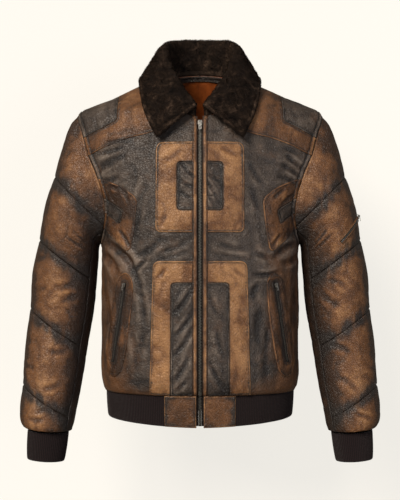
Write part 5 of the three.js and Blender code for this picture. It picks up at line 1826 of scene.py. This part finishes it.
def stitched(lines, tree, pitch=4.0, length=2.7, thick=0.42):
    """Joined stitches along lines of x and z: each a small bead, sunk at both ends."""
    all_points, all_faces, start = [], [], 0
    for path in lines:
        x, z = even_line(path, pitch)
        centres, out = dropped(tree, x, z)
        if len(centres) < 3:
            continue
        along = unit(np.gradient(centres, axis=0))
        across = unit(np.cross(along, out))
        middle = centres + out * 0.22
        ring = [middle + out * thick, middle + across * thick, middle - out * thick, middle - across * thick]
        points = np.stack([*ring, middle - along * length / 2 - out * 0.35,
                           middle + along * length / 2 - out * 0.35], 1).reshape(-1, 3)
        own = [[k, (k + 1) % 4, 5] for k in range(4)] + [[(k + 1) % 4, k, 4] for k in range(4)]
        all_faces += [[start + n * 6 + v for v in f] for n in range(len(centres)) for f in own]
        all_points.append(points)
        start += len(points)
    return np.concatenate(all_points), all_faces


STITCH_LINES = [
    [(11, z) for z in np.linspace(-592, -100, 80)],
    [(x, z) for x, z in ((92, -119.5), (129, -127.5), (168, -140.5), (188, -149.5))],
    [(158, -93), (190, -108.5), (214, -120)],
    [(129, -391), (133, -446), (141, -510), (150, -550), (160, -560), (167, -552), (169.5, -530)],
    [(129, -391), (133, -379), (143, -378), (150, -389), (156, -434), (165, -494), (169.5, -530)],
    [(11, -599.5), (60, -598.5)],
    [(11, -648), (60, -647)],
    [(60, -600), (60, -646)],
]


def make_stitches():
    for hand, label in SIDES:
        tree = skin_tree(hand)
        lines = [[(x * hand, z) for x, z in line] for line in STITCH_LINES]
        points, faces = stitched(lines, tree)
        piece = make_object(f"stitches_{label}", points, faces, [THREAD])
        settle(piece, "leather_dark")


def make_sleeve_zip():
    """The slanted zip on the left sleeve: a tape in a slot with rolled lips, and its teeth."""
    tree = skin_tree(1)
    x, z = even_line([(305.5, -266), (262, -317)], 1.35)
    centres, out = dropped(tree, x, z)
    out = unit(out + np.roll(out, 1, axis=0) + np.roll(out, -1, axis=0))
    make_teeth("sleeve_zip_teeth", centres + out * 0.6, out, (2.4, 1.1, 1.2), [], 0.7)
    along = unit(np.gradient(centres, axis=0))
    across = unit(np.cross(along, out))
    share = np.array([-1, -0.86, -0.6, -0.3, 0, 0.3, 0.6, 0.86, 1]) * 5.2
    lip = np.array([0.0, 1.1, 2.1, 0.4, 0.4, 0.4, 2.1, 1.1, 0.0])
    grid = np.stack([centres + across * s + out * (h + 0.15) for s, h in zip(share, lip)])
    faces = grid_faces(*grid.shape[:2])
    outward = np.broadcast_to(out[None], grid.shape)
    # Darker in the middle, under the teeth, with painted highlight on the rolled lips.
    darkening = np.broadcast_to(np.array([0.3, 0.5, 0.2, 1, 1, 1, 0.2, 0.5, 0.3])[:, None], grid.shape[:2])
    marks = {"burnish_and_shade": darkening, "glow": 0.5 - darkening, "fold": darkening * 0}
    piece = wall("sleeve_zip_welt", grid, faces, outward, 0.8, [TAN, SUEDE], marks)
    settle(piece, "zip_tape", "sleeve_zip")
    length, width = arc_lengths(grid)
    declare_cut(width, length, area_of(grid, faces))


def finish_metal():
    """The cast sliders and their pulls keep their solids, with the plated finish."""
    for name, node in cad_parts.items():
        if name.endswith("_slider") or name.endswith("_pull"):
            for slot in node.material_slots:
                slot.material = GUNMETAL


make_fronts()
make_back()
for laid_name in LAID_OUTLINES:
    make_laid(laid_name)
make_hem_tabs()
make_hem_rib()
for band in range(5):
    make_band(band)
make_under_sleeves()
make_cuffs()
make_collar()
make_lining()
make_neck_binding()
make_main_zip()
make_pocket_teeth()
make_sleeve_zip()
make_stitches()
finish_metal()
